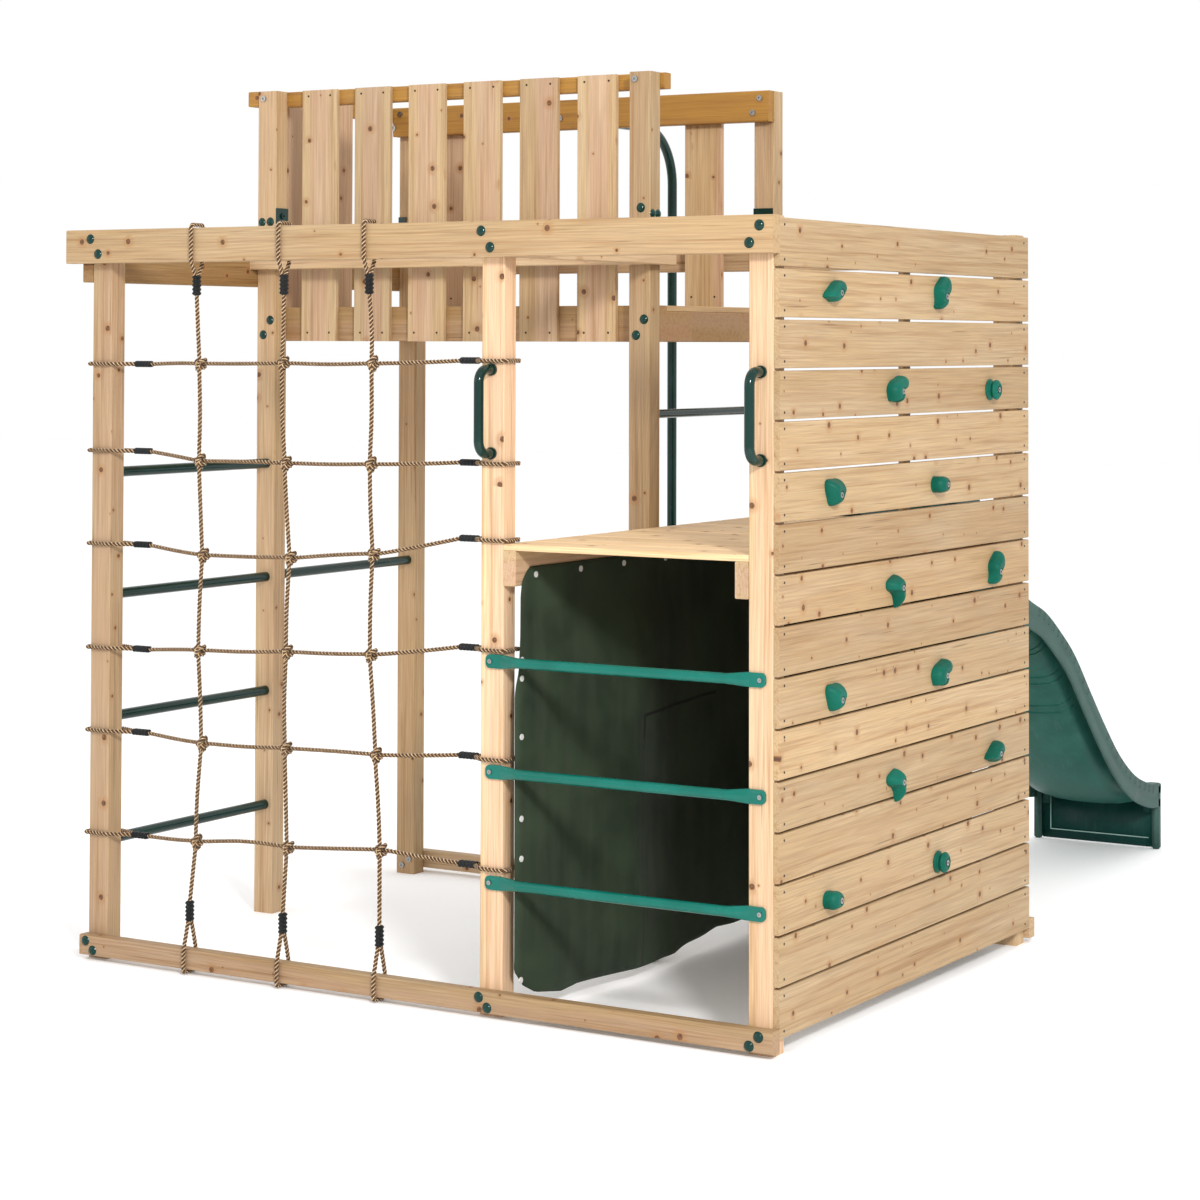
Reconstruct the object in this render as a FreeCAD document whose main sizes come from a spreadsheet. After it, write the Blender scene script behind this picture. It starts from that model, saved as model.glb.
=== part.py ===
"""Wooden climbing frame: rock wall, scramble net, ladder, den, balcony, fireman's pole and slide.

Millimetres, +Z up. The origin is on the ground, in the middle of the footprint.
Most places are given as (left, back, up): how far left of the rock wall's outer face,
how far behind the front beams' front face, and how far above the ground.
"""
import FreeCAD, Part
import math
import os
import re

Vector = FreeCAD.Vector

# ---------------------------------------------------------------- driving dimensions
DIMENSIONS = {
    "post_width": 70, "post_depth": 58, "beam_thick": 38, "beam_tall": 95,
    "sill_foot": 14, "sill_tall": 56,
    "frame_top": 2060, "tower_top": 2515, "frame_length": 2274, "frame_depth": 1649,
    "board_thick": 17, "wall_board_tall": 120, "wall_board_pitch": 126, "wall_board_count": 16,
    "wall_foot": 44, "slat_width": 130, "rail_tall": 46,
    "deck_top": 1221, "deck_board_wide": 122, "deck_board_count": 12, "joist_tall": 92,
    "balcony_top": 1850, "floor_beam_tall": 104,
    "ladder_tube": 30, "den_tube": 27, "bar_tube": 25, "pole_tube": 32, "handle_tube": 26,
    "rope_thick": 12, "ferrule_wide": 28, "ferrule_thick": 18, "ferrule_long": 56,
    "cap_radius": 14, "cap_height": 8, "bolt_radius": 9, "nail_radius": 3.2,
    "cover_thick": 3, "slide_width": 460, "slide_wall": 26, "slide_skin": 8,
}
WALL_FACE = 1118      # x of the rock wall's outer face
FRONT = -1638         # y of the front beams' front face
EDGE_ROUND = 4        # eased long edges of posts and beams
BOARD_ROUND = 2.5     # eased long edges of boards and slats

# stations: how far left or back each post's near face starts
LEFT_POST = 2205      # outer (left) face of the left posts
MID_POST = 877        # left face of the middle posts
RIGHT_POST = 87       # left face of the right posts
FRONT_ROW = 38        # front face of the front posts
MIDDLE_ROW = 795      # front face of the middle posts
BACK_ROW = 1553       # front face of the back posts

doc = FreeCAD.newDocument("climbing_frame")
sheet = doc.addObject("Spreadsheet::Sheet", "dims")
for row, (alias, value) in enumerate(DIMENSIONS.items(), start=1):
    sheet.set(f"A{row}", alias)
    sheet.set(f"B{row}", str(value))
    sheet.setAlias(f"B{row}", alias)
doc.recompute()

nodes = {}            # node name -> document object that is exported
D = DIMENSIONS


def place(left, back, up):
    """Point in the model's own frame from its (left, back, up) distances."""
    return Vector(WALL_FACE - left, FRONT + back, up)


def bind(thing, prop, formula):
    """Tie a property to a formula of the sheet's aliases; a plain number stays a number."""
    if isinstance(formula, (int, float)):
        setattr(thing, prop, formula)
    else:
        thing.setExpression(prop, re.sub(r"[a-z][a-z_]*", r"dims.\g<0>", formula))


def keep(name, thing):
    """Name a sub-part: its label is its node's name."""
    thing.Label = name
    nodes[name] = thing
    return thing


def group(name, pieces):
    """One node of several separate solids."""
    compound = doc.addObject("Part::Compound", name)
    compound.Links = pieces
    return keep(name, compound)


# ---------------------------------------------------------------- timber
def timber(name, corner, size, round_edges=EDGE_ROUND):
    """Planed timber with its long edges eased; corner is its left, front, low corner."""
    block = doc.addObject("Part::Box", name + "_block")
    for prop, formula in zip(("Length", "Width", "Height"), size):
        bind(block, prop, formula)
    block.Placement.Base = place(*corner)
    doc.recompute()
    spans = (block.Length.Value, block.Width.Value, block.Height.Value)
    along = Vector(*[1.0 if span == max(spans) else 0.0 for span in spans])
    eased = doc.addObject("Part::Fillet", name + "_eased")
    eased.Base = block
    eased.Edges = [(number, round_edges, round_edges)
                   for number, edge in enumerate(block.Shape.Edges, start=1)
                   if abs(edge.tangentAt(edge.FirstParameter).dot(along)) > 0.99]
    return eased


POSTS = {
    "post_front_left": (LEFT_POST, FRONT_ROW, "frame_top"),
    "post_front_mid": (MID_POST, FRONT_ROW, "frame_top"),
    "post_front_right": (RIGHT_POST, FRONT_ROW, "frame_top"),
    "post_middle_left": (LEFT_POST, MIDDLE_ROW, "tower_top"),
    "post_middle_centre": (MID_POST, MIDDLE_ROW, "tower_top"),
    "post_back_left": (LEFT_POST, BACK_ROW, "tower_top"),
    "post_back_mid": (MID_POST, BACK_ROW, "tower_top"),
    "post_back_right": (RIGHT_POST, BACK_ROW, "frame_top"),
}


def make_posts_and_beams():
    for name, (left, back, height) in POSTS.items():
        keep(name, timber(name, (left, back, 0), ("post_width", "post_depth", height)))

    top = D["frame_top"] - D["beam_tall"]
    rear = D["frame_depth"] - D["beam_thick"]
    overhang = D["frame_length"]
    outer = LEFT_POST + D["beam_thick"]
    inner = MID_POST - D["post_width"]
    beams = {
        "beam_front_top": ((overhang, 0, top), ("frame_length", "beam_thick", "beam_tall")),
        "beam_front_bottom": ((LEFT_POST, 0, D["sill_foot"]), (LEFT_POST, "beam_thick", "sill_tall")),
        "beam_back_top": ((overhang, rear, top), ("frame_length - 30", "beam_thick", "beam_tall")),
        "beam_back_bottom": ((LEFT_POST, rear, D["sill_foot"]), (LEFT_POST, "beam_thick", "sill_tall")),
        "beam_left_top": ((outer, FRONT_ROW, 1912), ("beam_thick", rear - FRONT_ROW, 91)),
        "beam_inner_top": ((inner, FRONT_ROW, top),
                           ("beam_thick", MIDDLE_ROW + 84 - FRONT_ROW, "beam_tall")),
        "beam_cross_top": ((LEFT_POST, MIDDLE_ROW - D["beam_thick"], top),
                           (LEFT_POST - inner, "beam_thick", "beam_tall")),
        "wall_batten": ((17 + D["board_thick"], 789, D["wall_foot"]),
                        ("board_thick", 45, "frame_top - wall_foot - 6")),
    }
    for name, (corner, size) in beams.items():
        keep(name, timber(name, corner, size))


# ---------------------------------------------------------------- rock wall
BOARD_RUN = D["frame_depth"] - 2 * D["beam_thick"]      # length of a wall board

# outlines of the moulded holds as (back, up) from their bolt, in turn round each
SHAPES = {
    "leaf": ((-47, -8), (-40, 0), (-26, 9), (-3, 24), (14, 31), (31, 31), (41, 17), (31, 3),
             (14, -11), (0, -21), (-12, -23), (-23, -18), (-38, -14)),
    "peanut": ((-20, -26), (-16, -5), (-18, 20), (2, 40), (22, 53), (36, 55), (44, 42), (35, 20),
               (15, 4), (11, -12), (12, -24), (2, -33), (-12, -34)),
    "kidney": ((-33, -14), (-34, 15), (-15, 28), (14, 37), (36, 41), (50, 32), (41, 19), (15, 9),
               (11, -6), (14, -20), (4, -29), (-6, -18), (-17, -26), (-28, -24)),
    "spool": ((28, 0), (20, 20), (0, 28), (-20, 20), (-28, 0), (-20, -20), (0, -28), (20, -20)),
    "shield": ((-35, 22), (-31, 36), (-10, 40), (13, 40), (33, 38), (42, 24), (28, 0), (15, -19),
               (2, -28), (-12, -27), (-22, -13), (-30, 4)),
    "stub": ((-31, -13), (-31, 13), (-22, 21), (-4, 22), (13, 19), (19, 10), (19, -10), (13, -19),
             (-4, -22), (-22, -21)),
    "claw": ((-44, 10), (-38, -4), (-18, -12), (-4, -26), (2, -43), (9, -54), (15, -43), (17, -22),
             (18, 0), (17, 21), (9, 33), (-7, 32), (-22, 27), (-36, 21)),
}
# sections of a hold from the wall outwards as (distance out, share of its outline)
DOME = ((0, 1.0), (11, 1.0), (21, 0.94), (29, 0.80), (34, 0.52))
TAPER = ((0, 1.0), (9, 0.97), (18, 0.87), (26, 0.73), (34, 0.52))
SECTIONS = {"spool": ((0, 0.95), (7, 0.97), (13, 0.80), (19, 0.97), (26, 0.95), (31, 0.62)),
            "stub": ((0, 1.0), (14, 1.0), (26, 0.95), (33, 0.80), (38, 0.55)),
            "claw": TAPER, "shield": TAPER}
BOLT_OUT = {"spool": 26, "stub": 32}       # how far out a bolt's head starts; 27 on the others
DEN_RUNGS = (344, 630, 916)                # heights of the bars across the den's front
# name: (back, up) of its bolt, and its shape
HOLDS = {
    "hold_01": (317, 1872, "leaf"), "hold_02": (965, 1872, "peanut"),
    "hold_03": (684, 1617, "kidney"), "hold_04": (1325, 1613, "spool"),
    "hold_05": (317, 1360, "shield"), "hold_06": (960, 1360, "stub"),
    "hold_07": (684, 1099, "claw"), "hold_08": (1332, 1098, "peanut"),
    "hold_09": (321, 842, "shield"), "hold_10": (964, 841, "kidney"),
    "hold_11": (687, 588, "claw"), "hold_12": (1332, 585, "leaf"),
    "hold_13": (306, 342, "stub"), "hold_14": (966, 335, "spool"),
}


def hold_outline(back, up, shape, share, x):
    """Closed smooth curve round a hold at one distance from the wall."""
    curve = Part.BSplineCurve()
    curve.interpolate([Vector(x, FRONT + back + share * across, up + share * high)
                       for across, high in SHAPES[shape]], PeriodicFlag=True)
    return Part.Wire([curve.toShape()])


def make_hold(name, back, up, shape):
    """Moulded hold: a lofted dome with a shallow recess for its bolt."""
    sections = [hold_outline(back, up, shape, share, WALL_FACE + out)
                for out, share in SECTIONS.get(shape, DOME)]
    dome = doc.addObject("Part::Feature", name + "_dome")
    dome.Shape = Part.makeLoft(sections, True)
    recess = doc.addObject("Part::Cylinder", name + "_recess")
    recess.Radius = D["bolt_radius"] + 1.5
    recess.Height = 30
    recess.Placement = FreeCAD.Placement(
        Vector(WALL_FACE + BOLT_OUT.get(shape, 27), FRONT + back, up),
        FreeCAD.Rotation(Vector(0, 0, 1), Vector(1, 0, 0)))
    cut = doc.addObject("Part::Cut", name)
    cut.Base = dome
    cut.Tool = recess
    return keep(name, cut)


def make_rock_wall():
    boards = []
    for number in range(D["wall_board_count"]):
        up = D["wall_foot"] + number * D["wall_board_pitch"]
        boards.append(timber(f"wall_board_{number + 1}", (D["board_thick"], FRONT_ROW, up),
                             ("board_thick", BOARD_RUN, "wall_board_tall"), BOARD_ROUND))
    group("wall_boards", boards)
    for name, (back, up, shape) in HOLDS.items():
        make_hold(name, back, up, shape)


# ---------------------------------------------------------------- round pieces
def rod(name, start, end, thick):
    """Straight round bar between two points."""
    bar = doc.addObject("Part::Cylinder", name)
    bind(bar, "Radius", f"{thick} / 2")
    bar.Height = (end - start).Length
    bar.Placement = FreeCAD.Placement(start, FreeCAD.Rotation(Vector(0, 0, 1), end - start))
    return bar


def bent_path(points, radii):
    """Straight runs joined by tangent arcs, one radius for each inner point."""
    edges = []
    last = points[0]
    for before, corner, after, radius in zip(points, points[1:], points[2:], radii):
        back = (before - corner).normalize()
        on = (after - corner).normalize()
        half = back.getAngle(on) / 2
        cut = radius / math.tan(half)
        first = corner + back * cut
        final = corner + on * cut
        centre = corner + (back + on).normalize() * (radius / math.sin(half))
        middle = centre + (corner - centre).normalize() * radius
        if (first - last).Length > 0.01:
            edges.append(Part.LineSegment(last, first).toShape())
        edges.append(Part.Arc(first, middle, final).toShape())
        last = final
    edges.append(Part.LineSegment(last, points[-1]).toShape())
    return Part.Wire(edges)


def tube(name, points, radii, thick):
    """Round bar or rope swept along a bent path."""
    spine = doc.addObject("Part::Feature", name + "_path")
    spine.Shape = bent_path(points, radii)
    ring = doc.addObject("Part::Circle", name + "_ring")
    bind(ring, "Radius", f"{thick} / 2")
    ring.Placement = FreeCAD.Placement(
        points[0], FreeCAD.Rotation(Vector(0, 0, 1), points[1] - points[0]))
    sweep = doc.addObject("Part::Sweep", name)
    sweep.Sections = [ring]
    sweep.Spine = (spine, [f"Edge{n + 1}" for n in range(len(spine.Shape.Edges))])
    sweep.Solid = True
    doc.recompute()
    expected = math.pi * (D[thick] / 2) ** 2 * spine.Shape.Length
    if abs(sweep.Shape.Volume / expected - 1) > 0.01:
        raise ValueError(f"{name}: volume {sweep.Shape.Volume:.0f}, expected {expected:.0f}")
    return sweep


def soft_radii(points):
    """Arc radius at each inner point: 0.45 of its shorter run over tan(half the turn)."""
    radii = []
    for before, corner, after in zip(points, points[1:], points[2:]):
        turn = math.pi - (before - corner).getAngle(after - corner)
        run = min((before - corner).Length, (after - corner).Length)
        radii.append(0.45 * run / math.tan(turn / 2))
    return radii


def make_ladder_and_bars():
    left = LEFT_POST - 40
    first = FRONT_ROW + D["post_depth"]
    rungs = [rod(f"ladder_rung_{n + 1}", place(left, first, 330 + 347 * n),
                 place(left, MIDDLE_ROW, 330 + 347 * n), "ladder_tube") for n in range(4)]
    group("ladder_rungs", rungs)
    behind = MIDDLE_ROW + D["post_depth"]
    centre = MID_POST - D["post_width"] / 2
    group("cross_bars", [
        rod("side_bar", place(left, behind, 1027), place(left, BACK_ROW, 1027), "ladder_tube"),
        rod("step_bar", place(centre, behind, 1540), place(centre, BACK_ROW, 1540), "bar_tube")])


def make_den_rung(name, up):
    """Tube with both ends pressed flat and screwed to the posts' front faces."""
    axis_back = FRONT_ROW - 12
    flat_back = FRONT_ROW - 3.5
    ends = (MID_POST - 20, RIGHT_POST - D["post_width"] + 20)
    tab, neck = 44, 60
    lefts = (ends[0] - tab - neck, ends[1] + tab + neck)
    pieces = [rod(name + "_tube", place(lefts[0], axis_back, up), place(lefts[1], axis_back, up),
                  "den_tube")]
    for side, (end, inner, way) in enumerate(zip(ends, lefts, (1, -1))):
        turned = FreeCAD.Rotation(Vector(0, 0, 1), Vector(1, 0, 0))
        ring = doc.addObject("Part::Circle", f"{name}_ring_{side}")
        bind(ring, "Radius", "den_tube / 2")
        ring.Placement = FreeCAD.Placement(place(inner, axis_back, up), turned)
        flat = doc.addObject("Part::Ellipse", f"{name}_flat_{side}")
        flat.MajorRadius = 19
        flat.MinorRadius = 3.4
        flat.Placement = FreeCAD.Placement(place(inner + way * neck, flat_back, up), turned)
        press = doc.addObject("Part::Loft", f"{name}_press_{side}")
        press.Sections = [ring, flat]
        press.Solid = True
        plate = doc.addObject("Part::Box", f"{name}_plate_{side}")
        plate.Length = tab + 12
        plate.Width = 6.8
        plate.Height = 36
        plate.Placement.Base = place(max(end, inner + way * (neck - 12)), flat_back - 3.4, up - 18)
        rounded = doc.addObject("Part::Fillet", f"{name}_tab_{side}")
        rounded.Base = plate
        doc.recompute()
        rounded.Edges = [(number, 13, 13) for number, edge in enumerate(plate.Shape.Edges, start=1)
                         if abs(edge.tangentAt(edge.FirstParameter).y) > 0.99]
        pieces += [press, rounded]
    whole = doc.addObject("Part::MultiFuse", name)
    whole.Shapes = pieces
    return whole


def make_handle(name, left):
    """Bow-shaped grab handle on a post's front face, with a round foot at each end."""
    stand, low, high = 62, 1455, 1673
    out = FRONT_ROW - stand
    corners = [place(left, FRONT_ROW - 4, high), place(left, out, high), place(left, out, low),
               place(left, FRONT_ROW - 4, low)]
    bow = tube(name + "_bow", corners, (34, 34), "handle_tube")
    feet = []
    for number, up in enumerate((low, high)):
        foot = doc.addObject("Part::Cylinder", f"{name}_foot_{number}")
        foot.Radius = 16
        foot.Height = 7
        foot.Placement = FreeCAD.Placement(place(left, FRONT_ROW, up),
                                           FreeCAD.Rotation(Vector(0, 0, 1), Vector(0, -1, 0)))
        feet.append(foot)
    whole = doc.addObject("Part::MultiFuse", name)
    whole.Shapes = [bow] + feet
    return whole


def make_pole():
    """Fireman's pole: from the ground up, one bend, then an arm back to the barrier's rail."""
    left, far, arm_up, bend = 1556, 2240, 2463, 185
    start = place(left, far, 0)
    corners = [start, place(left, far, arm_up), place(left, BACK_ROW + 6, arm_up)]
    pole = tube("pole_tube_bent", corners, (bend,), "pole_tube")
    flange = doc.addObject("Part::Cylinder", "pole_flange")
    flange.Radius = 38
    flange.Height = 7
    flange.Placement = FreeCAD.Placement(place(left, BACK_ROW, arm_up),
                                         FreeCAD.Rotation(Vector(0, 0, 1), Vector(0, 1, 0)))
    whole = doc.addObject("Part::MultiFuse", "firemans_pole")
    whole.Shapes = [pole, flange]
    keep("firemans_pole", whole)


# ---------------------------------------------------------------- decks and barriers
def make_lower_deck():
    inner = MID_POST - D["post_width"]
    run = inner - RIGHT_POST
    under = D["deck_top"] - D["board_thick"]
    pitch = BOARD_RUN / D["deck_board_count"]
    boards = []
    for number in range(D["deck_board_count"]):
        boards.append(timber(f"deck_board_{number + 1}",
                             (inner, FRONT_ROW + pitch * number, under),
                             (run, "deck_board_wide", "board_thick"), BOARD_ROUND))
    group("deck_boards", boards)
    low = under - D["joist_tall"]
    thick = D["beam_thick"]
    group("deck_joists", [
        timber("deck_joist_left", (inner, FRONT_ROW, low), ("beam_thick", BOARD_RUN, "joist_tall")),
        timber("deck_joist_right", (RIGHT_POST + thick, FRONT_ROW, low),
               ("beam_thick", BOARD_RUN, "joist_tall")),
        timber("deck_joist_back", (inner - thick, BACK_ROW - thick, low),
               (run - 2 * thick, "beam_thick", "joist_tall"))])


def slat_row(name, count, first, step, corner_of, size):
    """Evenly spaced upright slats from the foot of the floor beam to the top of the rail."""
    return [timber(f"{name}_{n + 1}", corner_of(first + step * n), size, BOARD_ROUND)
            for n in range(count)]


def make_balcony():
    thick, slat, board = D["beam_thick"], D["slat_width"], D["board_thick"]
    beam_low = D["balcony_top"] - D["floor_beam_tall"]
    slat_size = ("slat_width", "board_thick", "tower_top - balcony_top + floor_beam_tall")
    right = MID_POST - D["post_width"]
    left_inner = LEFT_POST - D["post_width"]
    rail_low = D["tower_top"] - D["rail_tall"]
    front_rail = MIDDLE_ROW + D["post_depth"]
    back_rail = BACK_ROW - thick

    group("barrier_rails", [
        timber("rail_front", (LEFT_POST, front_rail, rail_low),
               (LEFT_POST - right + 12, "beam_thick", "rail_tall")),
        timber("rail_left", (LEFT_POST + thick, MIDDLE_ROW, rail_low),
               ("beam_thick", BACK_ROW + D["post_depth"] - MIDDLE_ROW, "rail_tall")),
        timber("rail_back", (LEFT_POST, back_rail, D["tower_top"] - D["beam_tall"]),
               (LEFT_POST - right, "beam_thick", "beam_tall"))])

    group("floor_beams", [
        timber("floor_beam_front", (LEFT_POST, front_rail, beam_low),
               (LEFT_POST - right, "beam_thick", "floor_beam_tall")),
        timber("floor_beam_back", (LEFT_POST, back_rail, beam_low),
               (LEFT_POST - right, "beam_thick", "floor_beam_tall")),
        timber("floor_beam_left", (LEFT_POST, front_rail + thick, beam_low),
               ("beam_thick", back_rail - front_rail - thick, "floor_beam_tall - board_thick")),
        timber("floor_beam_right", (right + thick, front_rail + thick, beam_low),
               ("beam_thick", back_rail - front_rail - thick, "floor_beam_tall - board_thick"))])

    floor_count = 12
    floor_pitch = (LEFT_POST - right) / floor_count
    group("floor_boards", [
        timber(f"floor_board_{n + 1}",
               (LEFT_POST - floor_pitch * n, front_rail + thick, D["balcony_top"] - board),
               (floor_pitch - 4, back_rail - front_rail - thick, "board_thick"), BOARD_ROUND)
        for n in range(floor_count)])

    gap = (left_inner - MID_POST - 6 * slat) / 7
    side_gap = (BACK_ROW - front_rail - 3 * slat) / 4
    back_gap = 114
    slats = slat_row("front_slat", 6, left_inner - gap, -(slat + gap),
                     lambda left: (left, front_rail - board, beam_low), slat_size)
    slats += slat_row("back_slat", 2, left_inner - back_gap,
                      -(left_inner - MID_POST - 2 * back_gap - slat),
                      lambda left: (left, BACK_ROW, beam_low), slat_size)
    slats += slat_row("left_slat", 3, front_rail + side_gap, slat + side_gap,
                      lambda back: (LEFT_POST, back, D["balcony_top"]),
                      ("board_thick", "slat_width", "tower_top - balcony_top"))
    group("barrier_slats", slats)
    return gap, back_gap


# ---------------------------------------------------------------- scramble net
# every crossing of the net: how far left each upright rope is at each row, top row first,
# and how high each row is at the left post, at the three uprights and at the middle post
UPRIGHT_LEFTS = ((1822, 1821, 1808, 1819, 1807, 1824),
                 (1534, 1523, 1505, 1515, 1517, 1509),
                 (1234, 1238, 1228, 1235, 1216, 1200))
TOP_LEFTS, LOW_LEFTS = (1813, 1510, 1225), (1823, 1502, 1182)     # how far left their ferrules are
ROW_HEIGHTS = ((1680, 1683, 1686, 1687, 1696),
               (1434, 1412, 1413, 1417, 1428),
               (1170, 1151, 1156, 1178, 1229),
               (876, 887, 900, 909, 944),
               (642, 630, 638, 643, 661),
               (353, 358, 371, 392, 378))
UPRIGHT_BACK = 43.5       # the uprights run in front of the rows and touch them
ROW_BACK = 56
TOP_FERRULE, LOW_FERRULE = 1900, 172      # height of the middle of each upright's ferrules
LEFT_FERRULE, RIGHT_FERRULE = 2040, 932   # how far left the rows' ferrules are
LOOP_GAP = 1.5            # between a rope loop and the timber it goes round
LEG = 6.1                 # half the distance between a loop's legs where they leave a ferrule


def rope_loop(name, mouth, across, along, width, depth, legs):
    """Loop of rope from a ferrule's end round a timber: mouth is where its legs leave the ferrule,
    along points from there to the timber, across is the loop's wide direction."""
    side = width / 2 + D["rope_thick"] / 2 + LOOP_GAP
    far = depth + D["rope_thick"] / 2 + LOOP_GAP
    points = [mouth + across * LEG, mouth + across * side + along * legs,
              mouth + across * side + along * far, mouth - across * side + along * far,
              mouth - across * side + along * legs, mouth - across * LEG]
    gentle = 20
    corner = D["rope_thick"] / 2 + EDGE_ROUND
    return tube(name, points, (gentle, corner, corner, gentle), "rope_thick")


def make_ferrule(name, middle, along, across):
    """Flat sleeve that closes a loop: its length lies along the rope."""
    block = doc.addObject("Part::Box", name + "_block")
    bind(block, "Length", "ferrule_wide")
    bind(block, "Width", "ferrule_thick")
    bind(block, "Height", "ferrule_long")
    turned = FreeCAD.Rotation(across, Vector(0, 0, 0), along, "ZXY")
    centre = Vector(D["ferrule_wide"] / 2, D["ferrule_thick"] / 2, D["ferrule_long"] / 2)
    block.Placement = FreeCAD.Placement(middle - turned.multVec(centre), turned)
    doc.recompute()
    sleeve = doc.addObject("Part::Fillet", name)
    sleeve.Base = block
    sleeve.Edges = [(number, 6, 6) for number, edge in enumerate(block.Shape.Edges, start=1)
                    if abs(edge.tangentAt(edge.FirstParameter).dot(along)) > 0.99]
    return sleeve


def make_net():
    half = D["ferrule_long"] / 2
    thick = D["beam_thick"]
    under_top = D["frame_top"] - D["beam_tall"]
    sill_top = D["sill_foot"] + D["sill_tall"]
    to_back, up, right = Vector(0, 1, 0), Vector(0, 0, 1), Vector(1, 0, 0)
    ferrules = []
    for number, lefts in enumerate(UPRIGHT_LEFTS, start=1):
        name = f"net_upright_{number}"
        heights = [row[number] for row in ROW_HEIGHTS]
        top = place(TOP_LEFTS[number - 1], thick / 2, TOP_FERRULE)
        low = place(LOW_LEFTS[number - 1], thick / 2, LOW_FERRULE)
        points = [top - up * half]
        points += [place(left, UPRIGHT_BACK, height) for left, height in zip(lefts, heights)]
        points.append(low + up * half)
        high_mouth, low_mouth = top + up * half, low - up * half
        group(name, [
            tube(name + "_rope", points, soft_radii(points), "rope_thick"),
            rope_loop(name + "_over", high_mouth, to_back, up, thick,
                      D["frame_top"] - high_mouth.z, under_top - high_mouth.z),
            rope_loop(name + "_under", low_mouth, to_back, -up, thick,
                      low_mouth.z - D["sill_foot"], low_mouth.z - sill_top)])
        ferrules += [make_ferrule(name + "_ferrule_top", top, up, to_back),
                     make_ferrule(name + "_ferrule_low", low, up, to_back)]
    post_middle = FRONT_ROW + D["post_depth"] / 2
    for number, heights in enumerate(ROW_HEIGHTS, start=1):
        name = f"net_row_{number}"
        start = place(LEFT_FERRULE, post_middle, heights[0])
        end = place(RIGHT_FERRULE, post_middle, heights[-1])
        points = [start + right * half]
        points += [place(lefts[number - 1], ROW_BACK, height)
                   for lefts, height in zip(UPRIGHT_LEFTS, heights[1:-1])]
        points.append(end - right * half)
        left_mouth, right_mouth = start - right * half, end + right * half
        left_face = WALL_FACE - LEFT_POST + D["post_width"]
        right_face = WALL_FACE - MID_POST
        group(name, [
            tube(name + "_rope", points, soft_radii(points), "rope_thick"),
            rope_loop(name + "_left_loop", left_mouth, to_back, -right, D["post_depth"],
                      left_mouth.x - left_face + D["post_width"], left_mouth.x - left_face),
            rope_loop(name + "_right_loop", right_mouth, to_back, right, D["post_depth"],
                      right_face - right_mouth.x + D["post_width"], right_face - right_mouth.x)])
        ferrules += [make_ferrule(name + "_ferrule_left", start, right, to_back),
                     make_ferrule(name + "_ferrule_right", end, right, to_back)]
    group("net_ferrules", ferrules)


# ---------------------------------------------------------------- den cover
COVER_FOOT, COVER_TOP = 30, 1160
COVER_BACK = 1498         # front face of the cover's back panel


def make_den_cover():
    """Two flat panels of cloth: the left one hangs on the left deck joist, the back one behind it."""
    inner = MID_POST - D["post_width"] - D["beam_thick"] - 0.5
    panels = []
    sizes = (("left", (inner, FRONT_ROW + 6, COVER_FOOT),
              ("cover_thick", COVER_BACK - FRONT_ROW - 6, COVER_TOP - COVER_FOOT)),
             ("back", (inner, COVER_BACK + 1, COVER_FOOT),
              (inner - RIGHT_POST - D["beam_thick"] - 1, "cover_thick", COVER_TOP - COVER_FOOT)))
    for side, corner, size in sizes:
        panel = doc.addObject("Part::Box", "den_panel_" + side)
        for prop, formula in zip(("Length", "Width", "Height"), size):
            bind(panel, prop, formula)
        panel.Placement.Base = place(*corner)
        panels.append(panel)
    group("den_cover", panels)
    face = inner - D["cover_thick"]
    spots = [(back, 1138) for back in (129, 354, 582, 812, 1040, 1270)]
    spots += [(62, up) for up in (921, 873, 722, 511, 408, 96)]
    group("den_fixings", [stud(f"den_stud_{n + 1}", place(face, back, up), Vector(1, 0, 0), 8, 2.5)
                          for n, (back, up) in enumerate(spots)])


# ---------------------------------------------------------------- slide
# side wall's top edge as (back, up): over the deck's edge, a first drop, a hump, the long drop
# and the run-out; the bed follows it
SLIDE_EDGE = ((1590, 1330), (1700, 1318), (1840, 1205), (1985, 1035), (2137, 951), (2283, 896),
              (2410, 822), (2528, 738), (2658, 612), (2792, 484), (2928, 368), (3069, 284),
              (3213, 238), (3313, 226))
SLIDE_END = SLIDE_EDGE[-1][0]
BED_DROP, SKIRT_DROP = 66, 108            # below the top edge, square to it
SLIDE_LEFT = 677                          # slide's left side, from the wall face


def slide_curve(drop):
    """The side wall's edge curve moved down by drop, square to itself."""
    points = [Vector(0, FRONT + back, up) for back, up in SLIDE_EDGE]
    edge = Part.BSplineCurve()
    edge.interpolate(points)
    moved = []
    for point in points:
        along = Vector(*edge.tangent(edge.parameter(point))[0])
        moved.append(point + Vector(0, along.z, -along.y).normalize() * drop)
    moved[0].y = points[0].y
    moved[-1].y = points[-1].y
    curve = Part.BSplineCurve()
    curve.interpolate(moved)
    return curve.toShape(), moved


def slide_band(name, left, width, upper, lower):
    """Solid between two slide curves, width wide, its left side at left."""
    top, top_points = slide_curve(upper)
    bottom, low_points = slide_curve(lower)
    outline = Part.Wire([top, Part.LineSegment(top_points[-1], low_points[-1]).toShape(), bottom,
                         Part.LineSegment(low_points[0], top_points[0]).toShape()])
    face = doc.addObject("Part::Feature", name + "_outline")
    face.Shape = Part.Face(outline)
    face.Placement.Base = Vector(WALL_FACE - left, 0, 0)
    band = doc.addObject("Part::Extrusion", name)
    band.Base = face
    band.DirMode = "Custom"
    band.Dir = Vector(1, 0, 0)
    bind(band, "LengthFwd", width)
    band.Solid = True
    return band


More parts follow.
